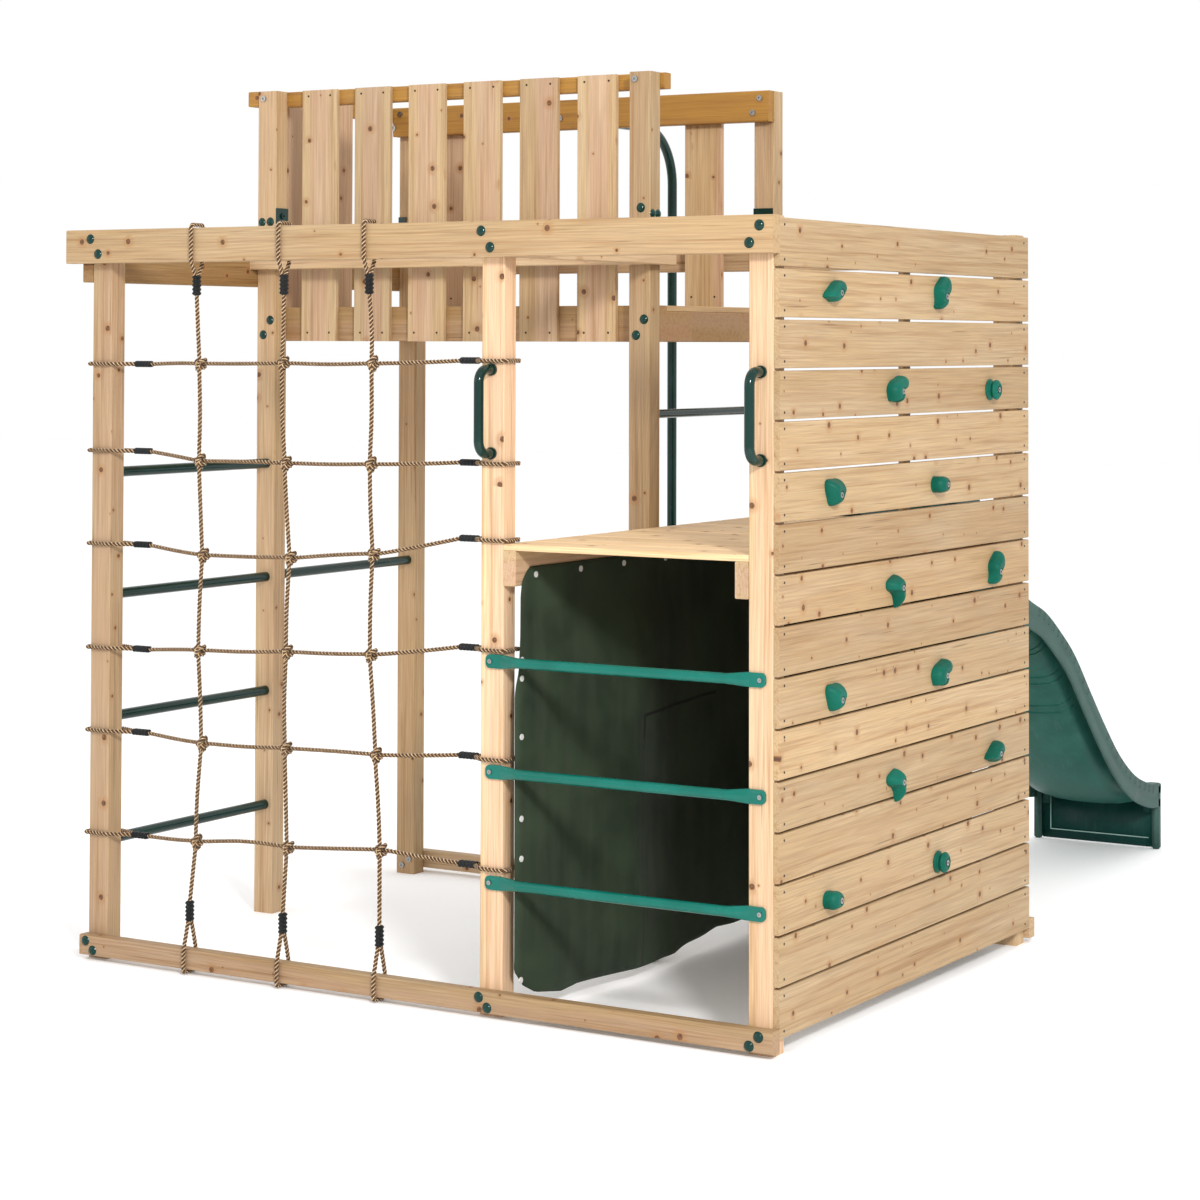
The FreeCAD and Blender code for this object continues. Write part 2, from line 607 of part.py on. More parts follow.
def make_slide():
    """One moulded channel: bed, two side walls with skirts, an end foot and cross ribs."""
    wall, skin = D["slide_wall"], D["slide_skin"]
    right = SLIDE_LEFT - D["slide_width"] + wall
    pieces = [slide_band("slide_bed", SLIDE_LEFT - wall / 2, "slide_width - slide_wall",
                         BED_DROP, BED_DROP + skin),
              slide_band("slide_wall_left", SLIDE_LEFT, "slide_wall", 0, SKIRT_DROP),
              slide_band("slide_wall_right", right, "slide_wall", 0, SKIRT_DROP)]
    foot = doc.addObject("Part::Box", "slide_foot")
    bind(foot, "Length", "slide_width")
    foot.Width = 14
    foot.Height = 226 - BED_DROP
    foot.Placement.Base = place(SLIDE_LEFT, SLIDE_END - 14, 0)
    pieces.append(foot)
    for number, left in enumerate((SLIDE_LEFT, right)):
        leg = doc.addObject("Part::Box", f"slide_leg_{number}")
        bind(leg, "Length", "slide_wall")
        leg.Width = 30
        leg.Height = 226
        leg.Placement.Base = place(left, SLIDE_END - 30, 0)
        pieces.append(leg)
    for number, step in enumerate((6, 8, 9)):
        back, up = SLIDE_EDGE[step]
        for pair, shift in enumerate((0, 26)):
            rib = doc.addObject("Part::Cylinder", f"slide_rib_{number}_{pair}")
            rib.Radius = 8
            rib.Height = D["slide_width"] - 2 * wall + 4
            rib.Placement = FreeCAD.Placement(
                place(SLIDE_LEFT - wall + 2, back - 46 - shift, up - 62 + shift * 0.9),
                FreeCAD.Rotation(Vector(0, 0, 1), Vector(1, 0, 0)))
            pieces.append(rib)
    whole = doc.addObject("Part::MultiFuse", "slide")
    whole.Shapes = pieces
    keep("slide", whole)


# ---------------------------------------------------------------- fasteners
def dome_cap(name, at, out):
    """Domed plastic cap over a bolt, flat side on the timber."""
    radius, height = D["cap_radius"], D["cap_height"]
    ball = (radius ** 2 + height ** 2) / (2 * height)
    cap = doc.addObject("Part::Sphere", name)
    cap.Radius = ball
    cap.Angle1 = math.degrees(math.asin((ball - height) / ball))
    cap.Placement = FreeCAD.Placement(at - out * (ball - height),
                                      FreeCAD.Rotation(Vector(0, 0, 1), out))
    return cap


def stud(name, at, out, radius, proud):
    """Round head standing proud of a face."""
    head = doc.addObject("Part::Cylinder", name)
    head.Radius = radius
    head.Height = proud
    head.Placement = FreeCAD.Placement(at, FreeCAD.Rotation(Vector(0, 0, 1), out))
    return head


def socket_bolt(name, at, out, radius=8, proud=6):
    """Round bolt head with a hexagon socket."""
    head = stud(name + "_head", at, out, radius, proud)
    key = doc.addObject("Part::Prism", name + "_key")
    key.Polygon = 6
    key.Circumradius = radius * 0.45
    key.Height = proud
    key.Placement = FreeCAD.Placement(at + out * (proud * 0.45),
                                      FreeCAD.Rotation(Vector(0, 0, 1), out))
    bolt = doc.addObject("Part::Cut", name)
    bolt.Base = head
    bolt.Tool = key
    return bolt


def make_bolt_caps():
    front, right = Vector(0, -1, 0), Vector(1, 0, 0)
    spots = []
    for left, way in ((LEFT_POST - 35, 1), (MID_POST - 35, 1), (RIGHT_POST - 35, -1)):
        spots += [((left + 14 * way, 0, 2034), front), ((left - 14 * way, 0, 1991), front),
                  ((left + 13 * way, 0, 54), front), ((left - 13 * way, 0, 29), front)]
    for left in (LEFT_POST, MID_POST):
        spots += [((left - 50, MIDDLE_ROW, 1810), front), ((left - 24, MIDDLE_ROW, 1765), front)]
    spots += [((LEFT_POST - 17, MIDDLE_ROW, 2111), front),
              ((LEFT_POST - 49, MIDDLE_ROW, 2112), front),
              ((MID_POST - 39, MIDDLE_ROW, 2127), front),
              ((MID_POST - 70, MIDDLE_ROW + 14, 2110), right),
              ((MID_POST - 70, MIDDLE_ROW + 44, 2110), right)]
    group("bolt_caps", [dome_cap(f"cap_{n + 1}", place(*spot), out)
                        for n, (spot, out) in enumerate(spots)])


def make_steel_bolts():
    front, right = Vector(0, -1, 0), Vector(1, 0, 0)
    bolts = []
    for name, (back, up, shape) in HOLDS.items():
        at = Vector(WALL_FACE + BOLT_OUT.get(shape, 27), FRONT + back, up)
        bolts.append(socket_bolt(name + "_bolt", at, right))
    back_rail = BACK_ROW - D["beam_thick"]
    spots = [(LEFT_POST - 22, MIDDLE_ROW, 2492), (MID_POST - 20, MIDDLE_ROW, 2494),
             (LEFT_POST - 30, back_rail, 2494), (LEFT_POST - 4, back_rail, 2449),
             (MID_POST - 40, back_rail, 2492), (MID_POST - 16, back_rail, 2448),
             (1554, back_rail, 2457),
             (LEFT_POST - 52, BACK_ROW, 48), (LEFT_POST - 24, BACK_ROW, 28)]
    bolts += [socket_bolt(f"frame_bolt_{n + 1}", place(*spot), front, 9, 5)
              for n, spot in enumerate(spots)]
    lefts = (MID_POST - 34, RIGHT_POST - D["post_width"] + 34)
    bolts += [socket_bolt(f"rung_bolt_{up}_{left:.0f}", place(left, FRONT_ROW - 6.9, up), front, 6, 4)
              for up in DEN_RUNGS for left in lefts]
    group("steel_bolts", bolts)


def make_nails(gap, back_gap):
    """Two nails at each end of every wall board, and four in each front and back slat."""
    front, right = Vector(0, -1, 0), Vector(1, 0, 0)
    slat = D["slat_width"]
    beam_low = D["balcony_top"] - D["floor_beam_tall"]
    heads = []
    for number in range(D["wall_board_count"]):
        low = D["wall_foot"] + number * D["wall_board_pitch"]
        for back in (FRONT_ROW + 24, FRONT_ROW + BOARD_RUN - 32):
            heads += [(place(0, back, low + inset), right)
                      for inset in (17, D["wall_board_tall"] - 17)]
    face = MIDDLE_ROW + D["post_depth"] - D["board_thick"]
    for number in range(6):
        left = LEFT_POST - D["post_width"] - gap - (slat + gap) * number
        heads += [(place(left - inset, face, up), front)
                  for inset in (24, slat - 24) for up in (beam_low + 26, D["tower_top"] - 18)]
    for left in (LEFT_POST - D["post_width"] - back_gap, MID_POST + back_gap + slat):
        heads += [(place(left - inset, BACK_ROW, beam_low + 140), front)
                  for inset in (24, slat - 24)]
    group("nails", [stud(f"nail_{n + 1}", at, out, D["nail_radius"], 0.8)
                    for n, (at, out) in enumerate(heads)])


def make_angle_plates():
    """Small folded plates at three of the tall posts."""
    plates = []
    for number, (corner, size) in enumerate((
            ((LEFT_POST - 70, MIDDLE_ROW, 2106), (4, 58, 48)),
            ((MID_POST, BACK_ROW - 4, 2110), (66, 4, 46)),
            ((LEFT_POST, BACK_ROW - 4, 2112), (30, 4, 44)))):
        plate = doc.addObject("Part::Box", f"plate_{number}")
        plate.Length, plate.Width, plate.Height = size
        plate.Placement.Base = place(*corner)
        plates.append(plate)
    plates.append(socket_bolt("plate_bolt",
                              place(LEFT_POST - 74, MIDDLE_ROW + 29, 2130), Vector(1, 0, 0), 9, 5))
    group("angle_plates", plates)


# ---------------------------------------------------------------- build and write
make_posts_and_beams()
make_rock_wall()
make_ladder_and_bars()
group("den_rungs", [make_den_rung(f"den_rung_{n + 1}", up) for n, up in enumerate(DEN_RUNGS)])
group("grab_handles", [make_handle("handle_mid", MID_POST - 32),
                       make_handle("handle_right", RIGHT_POST - 35)])
make_pole()
make_lower_deck()
slat_gap, pole_gap = make_balcony()
make_net()
make_den_cover()
make_slide()
make_bolt_caps()
make_steel_bolts()
make_nails(slat_gap, pole_gap)
make_angle_plates()
doc.recompute()

for thing in doc.Objects:
    if "Invalid" in thing.State or "Error" in thing.State:
        raise ValueError(f"{thing.Name} did not build: {thing.State}")
for name, thing in nodes.items():
    if thing.Shape.isNull() or not thing.Shape.isValid() or not thing.Shape.Solids:
        raise ValueError(f"{name} has no valid solid")

os.makedirs("parts", exist_ok=True)
for name, thing in nodes.items():
    thing.Shape.exportStep(f"parts/{name}.step")
whole = FreeCAD.BoundBox()
for thing in nodes.values():
    whole.add(thing.Shape.BoundBox)
print(f"{len(nodes)} sub-parts, {sum(len(thing.Shape.Solids) for thing in nodes.values())} solids")
print(f"x {whole.XMin:.1f} to {whole.XMax:.1f}, y {whole.YMin:.1f} to {whole.YMax:.1f}, "
      f"z {whole.ZMin:.1f} to {whole.ZMax:.1f}")
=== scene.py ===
import bpy, bmesh
import math
import random
import numpy as np
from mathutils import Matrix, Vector


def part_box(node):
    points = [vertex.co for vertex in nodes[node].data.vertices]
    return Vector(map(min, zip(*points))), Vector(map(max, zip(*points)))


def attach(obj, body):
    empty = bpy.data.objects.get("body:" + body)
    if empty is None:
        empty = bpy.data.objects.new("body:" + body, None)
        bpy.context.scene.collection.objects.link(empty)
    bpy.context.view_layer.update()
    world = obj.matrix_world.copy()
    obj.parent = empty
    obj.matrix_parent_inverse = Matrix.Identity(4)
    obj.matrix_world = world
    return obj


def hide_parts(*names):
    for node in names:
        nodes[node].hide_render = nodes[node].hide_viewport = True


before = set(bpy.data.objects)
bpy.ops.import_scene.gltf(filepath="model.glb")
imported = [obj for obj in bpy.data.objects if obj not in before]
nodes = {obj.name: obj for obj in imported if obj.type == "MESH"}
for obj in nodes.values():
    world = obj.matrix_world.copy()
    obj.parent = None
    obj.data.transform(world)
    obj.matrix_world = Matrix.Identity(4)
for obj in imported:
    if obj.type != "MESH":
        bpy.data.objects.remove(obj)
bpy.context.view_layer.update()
rng = random.Random(11)
scene = bpy.context.scene
WALL_FACE, FRONT = 1.118, -1.638


def place(left, back, up):
    """Point in the frame from millimetres left of the wall face, behind the front and above ground."""
    return Vector((WALL_FACE - left / 1000, FRONT + back / 1000, up / 1000))


# ------------------------------------------------------------------ camera and view transform
camera = bpy.data.objects.new("camera", bpy.data.cameras.new("camera"))
scene.collection.objects.link(camera)
camera.location = (4.3699, -7.8613, 1.7469)
camera.rotation_euler = (math.radians(91.662), math.radians(-0.142), math.radians(31.04))
camera.data.lens = 85.95
camera.data.sensor_width = 36
camera.data.shift_y = -0.2847
camera.data.clip_end = 100
scene.camera = camera
scene.view_settings.view_transform = "Standard"


# ------------------------------------------------------------------ node graphs
class Graph:
    """A material's node tree, with short calls for the nodes that it uses."""

    def __init__(self, name):
        self.material = bpy.data.materials.new(name)
        self.material.use_nodes = True
        self.tree = self.material.node_tree
        self.shader = self.tree.nodes["Principled BSDF"]
        self.shader.inputs["Specular IOR Level"].default_value = 0.14
        self.where = self.add("ShaderNodeTexCoord").outputs["Object"]

    def add(self, kind, inputs=(), **props):
        node = self.tree.nodes.new(kind)
        for key, value in props.items():
            setattr(node, key, value)
        for key, value in dict(inputs).items():
            self.put(node.inputs[key], value)
        return node

    def put(self, socket, value):
        if isinstance(value, bpy.types.NodeSocket):
            self.tree.links.new(value, socket)
        elif isinstance(value, tuple) and len(value) == 3 and socket.type == "RGBA":
            socket.default_value = (*value, 1)
        else:
            socket.default_value = value

    def set(self, **inputs):
        for key, value in inputs.items():
            self.put(self.shader.inputs[key.replace("_", " ")], value)

    def math(self, operation, *values, clamp=False):
        node = self.add("ShaderNodeMath", operation=operation, use_clamp=clamp)
        for socket, value in zip(node.inputs, values):
            self.put(socket, value)
        return node.outputs[0]

    def span(self, value, low, high, to_low=0.0, to_high=1.0):
        node = self.add("ShaderNodeMapRange", {"Value": value, "From Min": low, "From Max": high,
                                               "To Min": to_low, "To Max": to_high},
                        interpolation_type="SMOOTHSTEP")
        return node.outputs[0]

    def vector(self, x, y, z):
        return self.add("ShaderNodeCombineXYZ", {0: x, 1: y, 2: z}).outputs[0]

    def noise(self, vector, scale, detail=2.0, roughness=0.5, distortion=0.0):
        return self.add("ShaderNodeTexNoise", {"Vector": vector, "Scale": scale, "Detail": detail,
                                               "Roughness": roughness, "Distortion": distortion}).outputs[0]

    def ramp(self, value, stops):
        node = self.add("ShaderNodeValToRGB", {0: value})
        ramp = node.color_ramp
        while len(ramp.elements) < len(stops):
            ramp.elements.new(0.5)
        for element, (place_at, colour) in zip(ramp.elements, stops):
            element.position = place_at
            element.color = (*colour, 1)
        return node.outputs[0]

    def mix(self, amount, one, other, blend="MIX"):
        node = self.add("ShaderNodeMix", data_type="RGBA", blend_type=blend)
        self.put(node.inputs[0], amount)
        self.put(node.inputs[6], one)
        self.put(node.inputs[7], other)
        return node.outputs[2]

    def bump(self, height, distance, strength=1.0):
        node = self.add("ShaderNodeBump", {"Height": height, "Distance": distance, "Strength": strength})
        self.put(self.shader.inputs["Normal"], node.outputs[0])


def wear(node_name, material):
    """Give a CAD node's slots a better material."""
    for slot in nodes[node_name].material_slots:
        slot.material = material


# ------------------------------------------------------------------ pine
PALE, WARM, BAND = (0.655, 0.475, 0.27), (0.52, 0.335, 0.165), (0.36, 0.18, 0.065)
HEART, GOLD = (0.60, 0.375, 0.26), (0.43, 0.20, 0.016)
GOLD_BAND, GOLD_STREAK = (0.27, 0.105, 0.02), (0.30, 0.12, 0.025)
CREAM, CRACK = (0.72, 0.57, 0.38), (0.17, 0.085, 0.035)
KNOT_HALO, KNOT_DARK, KNOT_LIGHT = (0.33, 0.15, 0.05), (0.075, 0.032, 0.014), (0.20, 0.085, 0.032)
RINGS = 120.0          # growth rings in a metre


def pine(name, along, thin, seed, middle, cells=(), warmth=0.35, shade=1.0, knots=0.5, golden=0.0,
         heart=0.25):
    """Planed pine with growth rings cut through each board, knots, fibre and per-board tone.
    along and thin are the axes of the grain and of the thickness; seed picks the throws, and middle is
    the middle of the wood; cells are (axis, start, pitch) for a row of boards; warmth, shade and golden
    set the tone; knots is the share of places that have one; heart is how strongly pink heartwood shows
    between cream edges."""
    g = Graph(name)
    axes = g.add("ShaderNodeSeparateXYZ", {0: g.where}).outputs
    wide = 3 - along - thin
    board = seed * 3.17
    centre = {axis: middle[axis] for axis in range(3)}
    across, deep = axes[wide], g.math("SUBTRACT", axes[thin], centre[thin])
    for axis, start, pitch in cells:
        number = g.math("FLOOR", g.math("DIVIDE", g.math("SUBTRACT", axes[axis], start), pitch))
        board = g.math("ADD", g.math("MULTIPLY", number, 1.73 + axis), board)
        if axis == wide:
            centre[wide] = g.math("MULTIPLY_ADD", g.math("ADD", number, 0.5), pitch, start)
    across = g.math("SUBTRACT", across, centre[wide])
    dice = g.add("ShaderNodeTexWhiteNoise", {"W": board}, noise_dimensions="1D").outputs
    throws = g.add("ShaderNodeSeparateColor", {0: dice["Color"]}).outputs
    run = g.math("MULTIPLY_ADD", throws[0], 17.0, axes[along])
    lane = g.math("MULTIPLY_ADD", throws[1], 9.0, across)

    # knots are found on the face that is looked at: its own two directions, in metres
    facing = g.add("ShaderNodeSeparateXYZ", {0: g.tree.nodes["Texture Coordinate"].outputs["Normal"]}).outputs
    edge_on = g.math("GREATER_THAN", g.math("ABSOLUTE", facing[wide]), 0.7)
    side = g.add("ShaderNodeMix", {0: edge_on, 2: lane, 3: g.math("ADD", deep, 5.0)}).outputs[0]
    spots = g.add("ShaderNodeTexVoronoi", {"Vector": g.vector(run, side, 0.0), "Scale": 9.5},
                  voronoi_dimensions="2D")
    kinds = g.add("ShaderNodeSeparateColor", {0: spots.outputs["Color"]}).outputs
    radius = g.span(kinds[1], 0.0, 1.0, 0.022, 0.085)
    away = g.math("DIVIDE", spots.outputs["Distance"], radius)
    there = g.math("LESS_THAN", kinds[0], knots)
    knot = g.math("MULTIPLY", g.span(away, 1.05, 0.75), there)
    halo = g.math("MULTIPLY", g.span(away, 3.2, 0.9), there)

    # growth rings: distance from a pith line that wanders along the board
    bend = g.noise(g.vector(g.math("MULTIPLY", run, 0.8), throws[2], 0.3), 1.7, 1.0)
    sway = g.noise(g.vector(g.math("MULTIPLY", run, 0.5), throws[0], 4.3), 2.3, 1.0)
    tremble = g.noise(g.vector(g.math("MULTIPLY", run, 1.6), g.math("MULTIPLY", lane, 11.0),
                               g.math("MULTIPLY", deep, 11.0)), 2.0, 2.0)
    from_side = g.math("ADD", g.math("MULTIPLY_ADD", throws[1], 0.16, -0.08),
                       g.math("MULTIPLY_ADD", bend, 0.07, across))
    from_pith = g.math("ADD", g.math("MULTIPLY_ADD", throws[2], 0.06, 0.012),
                       g.math("MULTIPLY_ADD", sway, 0.035, deep))
    ring = g.math("SQRT", g.math("ADD", g.math("MULTIPLY", from_side, from_side),
                                 g.math("MULTIPLY", from_pith, from_pith)))
    ring = g.math("MULTIPLY_ADD", halo, 0.006, ring)
    ring = g.math("MULTIPLY_ADD", tremble, 0.004, ring)
    phase = g.math("FRACT", g.math("MULTIPLY", ring, RINGS))
    late = g.math("MULTIPLY", g.span(phase, 0.2, 0.86), g.span(phase, 1.0, 0.9))
    fibre = g.noise(g.vector(g.math("MULTIPLY", run, 6.0), g.math("MULTIPLY", lane, 330.0),
                             g.math("MULTIPLY", deep, 330.0)), 1.0, 3.0, 0.6)
    cloud = g.noise(g.vector(g.math("MULTIPLY", run, 0.9), g.math("MULTIPLY", lane, 5.0), throws[0]),
                    2.2, 2.0)
    streak = g.noise(g.vector(g.math("MULTIPLY", run, 1.7), g.math("MULTIPLY", lane, 85.0),
                              g.math("MULTIPLY", deep, 85.0)), 1.0, 4.0, 0.62)
    split = g.noise(g.vector(g.math("MULTIPLY", run, 3.4), g.math("MULTIPLY", lane, 150.0),
                             g.math("MULTIPLY", deep, 150.0)), 1.0, 2.0, 0.4)
    core = g.span(g.math("ABSOLUTE", g.math("ADD", across, g.math(
        "MULTIPLY_ADD", bend, 0.07, g.math("MULTIPLY_ADD", throws[1], 0.05, -0.055)))), 0.045, 0.022)

    tone = g.mix(g.math("MULTIPLY_ADD", throws[0], 0.55, warmth - 0.25, clamp=True), PALE, WARM)
    tone = g.mix(g.math("MULTIPLY", core, heart), tone, HEART)
    tone = g.mix(golden, tone, GOLD)
    strength = g.span(cloud, 0.3, 0.7, 0.05, 0.30)
    colour = g.mix(g.math("MULTIPLY", late, strength), tone, g.mix(golden, BAND, GOLD_BAND))
    colour = g.mix(g.span(streak, 0.46, 0.72, 0.0, 0.62), colour, g.mix(golden, BAND, GOLD_STREAK))
    colour = g.mix(g.span(cloud, 0.4, 0.75, 0.0, 0.30 * (1 - golden)), colour, CREAM)
    colour = g.mix(g.span(split, 0.69, 0.78, 0.0, 0.6), colour, CRACK)
    lit = g.math("MULTIPLY_ADD", throws[2], 0.20, 0.73 * shade)
    lit = g.math("MULTIPLY", lit, g.span(fibre, 0.3, 0.7, 0.84, 1.07))
    grey = g.add("ShaderNodeCombineColor", {0: lit, 1: lit, 2: lit}).outputs[0]
    colour = g.mix(1.0, colour, grey, "MULTIPLY")
    colour = g.mix(g.math("MULTIPLY", halo, 0.45), colour, KNOT_HALO)
    eye = g.span(g.noise(g.vector(run, side, 0.0), 160.0, 2.0), 0.35, 0.7)
    colour = g.mix(g.math("MULTIPLY", knot, 0.95), colour, g.mix(eye, KNOT_DARK, KNOT_LIGHT))
    g.set(Base_Color=colour, Roughness=g.span(fibre, 0.2, 0.8, 0.52, 0.68))
    g.shader.inputs["Specular IOR Level"].default_value = 0.35
    relief = g.math("ADD", g.math("MULTIPLY", late, 0.35), g.math("MULTIPLY", fibre, 0.5))
    g.bump(relief, 0.0006, 0.6)
    return g.material


def middle_of(name):
    """Middle of a CAD node's box."""
    low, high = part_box(name)
    return [(low[axis] + high[axis]) / 2 for axis in range(3)]


LOOKS = {
    "post_front_left": dict(shade=0.90, heart=0.4, warmth=0.45, knots=0.6),
    "post_front_mid": dict(shade=1.34, heart=0.6, warmth=0.15),
    "post_front_right": dict(shade=1.40, heart=0.5, warmth=0.1),
    "post_back_left": dict(golden=0.25),
    "post_middle_centre": dict(golden=0.2, shade=0.9),
    "beam_front_top": dict(shade=0.80, golden=0.1, knots=0.5, heart=0.1),
    "beam_front_bottom": dict(shade=0.74, golden=0.12, knots=0.5, heart=0.5),
    "beam_left_top": dict(golden=0.6, shade=0.72),
}
for seed, name in enumerate(sorted(nodes), start=1):
    look = LOOKS.get(name, {})
    if name.startswith("post_"):
        wear(name, pine("pine_" + name, 2, 1, seed, middle_of(name), **{"knots": 0.42, **look}))
    elif name in ("beam_inner_top", "beam_left_top"):
        wear(name, pine("pine_" + name, 1, 0, seed, middle_of(name), **look))
    elif name.startswith("beam_"):
        wear(name, pine("pine_" + name, 0, 1, seed, middle_of(name), **look))

# rows of boards: (axis, where the first starts, pitch), in metres
DEN_LEFT = WALL_FACE - 2.205
WALL_ROW = [(2, 0.041, 0.126)]
DECK_ROW = [(1, FRONT + 0.036, (1.611 - 0.038) / 12)]
JOIST_ROW = [(0, 0.0, 0.5)]
FLOOR_ROW = [(0, DEN_LEFT, 1.398 / 12)]
FLOOR_BEAM_ROW = [(1, 0.0, 0.3)]
RAIL_ROW = [(1, -0.4, 0.3)]
SLAT_ROWS = [(0, DEN_LEFT + 0.07 + 0.0395, 0.1997), (1, FRONT + 0.86, 0.24)]
wear("wall_batten", pine("pine_batten", 2, 0, 71, middle_of("wall_batten"), shade=0.9))
wear("wall_boards", pine("pine_wall", 1, 0, 72, middle_of("wall_boards"), WALL_ROW,
                         warmth=0.5, knots=0.72, heart=0.04, shade=0.90, golden=0.06))
wear("deck_boards", pine("pine_deck", 0, 2, 73, middle_of("deck_boards"), DECK_ROW,
                         warmth=0.15, shade=1.5, heart=0.1))
wear("deck_joists", pine("pine_deck_joists", 1, 0, 74, middle_of("deck_joists"), JOIST_ROW,
                         warmth=0.4, heart=0.6))
wear("floor_boards", pine("pine_floor_boards", 1, 2, 75, middle_of("floor_boards"), FLOOR_ROW,
                          warmth=0.45, golden=0.3))
wear("floor_beams", pine("pine_floor_beams", 0, 1, 76, middle_of("floor_beams"), FLOOR_BEAM_ROW,
                         warmth=0.9, shade=0.74, golden=0.38, knots=0.6, heart=0.6))
wear("barrier_rails", pine("pine_rails", 0, 1, 77, middle_of("barrier_rails"), RAIL_ROW,
                           golden=0.90, shade=0.96))
wear("barrier_slats", pine("pine_slats", 2, 1, 78, middle_of("barrier_slats"), SLAT_ROWS,
                           warmth=0.45, heart=0.6, knots=0.45, shade=0.98))


# ------------------------------------------------------------------ plastics, paint and metal
def moulded(name, colour, roughness, grain=900.0, relief=0.00012, mottle=0.18, coat=0.0):
    """Moulded or coated surface with a fine grain, a slight mottle and scuffs."""
    g = Graph(name)
    patches = g.noise(g.where, 9.0, 3.0)
    fine = g.noise(g.where, grain, 2.0)
    drawn = g.add("ShaderNodeMapping", {"Vector": g.where, "Scale": (30, 30, 180)}).outputs[0]
    scuffs = g.span(g.noise(drawn, 1.0, 4.0, 0.7), 0.62, 0.72)
    light = tuple(min(1.0, part * (1 + mottle) + 0.01 * mottle) for part in colour)
    dark = tuple(part * (1 - mottle) for part in colour)
    base = g.mix(g.span(patches, 0.3, 0.7), dark, light)
    worn = tuple(part * 0.5 + 0.25 for part in colour)
    base = g.mix(g.math("MULTIPLY", scuffs, 0.10), base, worn)
    g.set(Base_Color=base, Roughness=g.span(g.math("MULTIPLY_ADD", scuffs, 0.25, patches), 0.3, 0.9,
                                            roughness - 0.05, roughness + 0.13))
    g.shader.inputs["Coat Weight"].default_value = coat
    g.bump(fine, relief, 0.7)
    return g.material


emerald = moulded("emerald_hold", (0.0006, 0.098, 0.066), 0.46, 500.0, 0.0005, 0.2)
rung_green = moulded("emerald_enamel", (0.001, 0.128, 0.096), 0.22, 300.0, 0.00008, 0.1, coat=0.3)
bottle = moulded("bottle_green_enamel", (0.001, 0.022, 0.0165), 0.2, 300.0, 0.00008, 0.12, coat=0.4)
cap_green = moulded("cap_green", (0.001, 0.030, 0.023), 0.24, 700.0, 0.0001, 0.15, coat=0.3)
black = moulded("ferrule_black", (0.012, 0.013, 0.014), 0.42, 800.0, 0.0002, 0.2)

g = Graph("zinc")
g.set(Base_Color=g.mix(g.noise(g.where, 160.0, 3.0), (0.24, 0.24, 0.24), (0.44, 0.44, 0.43)),
      Roughness=g.span(g.noise(g.where, 420.0), 0.3, 0.7, 0.25, 0.42))
g.shader.inputs["Metallic"].default_value = 1.0
g.bump(g.noise(g.where, 900.0), 0.0001, 0.5)
zinc = g.material

g = Graph("nail_head")
g.set(Base_Color=g.mix(g.noise(g.where, 300.0), (0.03, 0.02, 0.014), (0.09, 0.06, 0.04)),
      Roughness=g.span(g.noise(g.where, 200.0), 0.3, 0.7, 0.4, 0.6))
g.shader.inputs["Metallic"].default_value = 0.6
nail_metal = g.material

for name in nodes:
    if name.startswith("hold_"):
        wear(name, emerald)
wear("den_rungs", rung_green)
for name in ("ladder_rungs", "cross_bars", "grab_handles", "firemans_pole", "angle_plates"):
    wear(name, bottle)
wear("bolt_caps", cap_green)
wear("steel_bolts", zinc)
wear("den_fixings", moulded("stud_cap", (0.62, 0.62, 0.60), 0.4, 600.0, 0.0001, 0.08))
wear("nails", nail_metal)


# ------------------------------------------------------------------ mesh helpers
def piece(name, verts, faces, material, smooth=True):
    """Object with one mesh and one material."""
    mesh = bpy.data.meshes.new(name)
    mesh.from_pydata([tuple(v) for v in verts], [], faces)
    mesh.validate()
    mesh.materials.append(material)
    mesh.shade_smooth() if smooth else mesh.shade_flat()
    thing = bpy.data.objects.new(name, mesh)
    scene.collection.objects.link(thing)
    return thing


def route(points, step):
    """Evenly spaced points along the smooth line of a rope's control points."""
    curve = bpy.data.curves.new("route", "CURVE")
    curve.dimensions = "3D"
    spline = curve.splines.new("NURBS")
    spline.points.add(len(points) - 1)
    for spot, point in zip(spline.points, points):
        spot.co = (*point, 1.0)
    spline.order_u = 3
    spline.use_endpoint_u = True
    spline.resolution_u = 16
    holder = bpy.data.objects.new("route", curve)
    scene.collection.objects.link(holder)
    mesh = bpy.data.meshes.new_from_object(holder)
    line = np.array([v.co[:] for v in mesh.vertices])
    bpy.data.objects.remove(holder)
    bpy.data.meshes.remove(mesh)
    bpy.data.curves.remove(curve)
    gone = np.concatenate([[0], np.cumsum(np.linalg.norm(np.diff(line, axis=0), axis=1))])
    stops = np.linspace(0, gone[-1], max(4, int(gone[-1] / step)))
    return np.stack([np.interp(stops, gone, line[:, axis]) for axis in range(3)], axis=1), gone[-1]


def frames(line):
    """Two sides at each point, square to the line and carried along without twist."""
    tangents = np.gradient(line, axis=0)
    tangents /= np.linalg.norm(tangents, axis=1)[:, None]
    side = np.cross(tangents[0], (0.31, 0.87, 0.38))
    side /= np.linalg.norm(side)
    sides = []
    for tangent in tangents:
        side = side - tangent * side.dot(tangent)
        side /= np.linalg.norm(side)
        sides.append(side)
    sides = np.array(sides)
    return sides, np.cross(tangents, sides)


# ------------------------------------------------------------------ laid rope
ROPE = 0.006           # radius
LASHING = 0.0055       # radius of the thinner rope round each crossing
LAY = 0.034            # length of one turn of the strands
ROPE_STEP = 0.0032     # distance between a rope's rings of points
STRAND_SIDES = 6
STRAND_PART, OFF_PART = 0.54, 0.52   # a strand's radius and its way off the middle, over the rope's radius


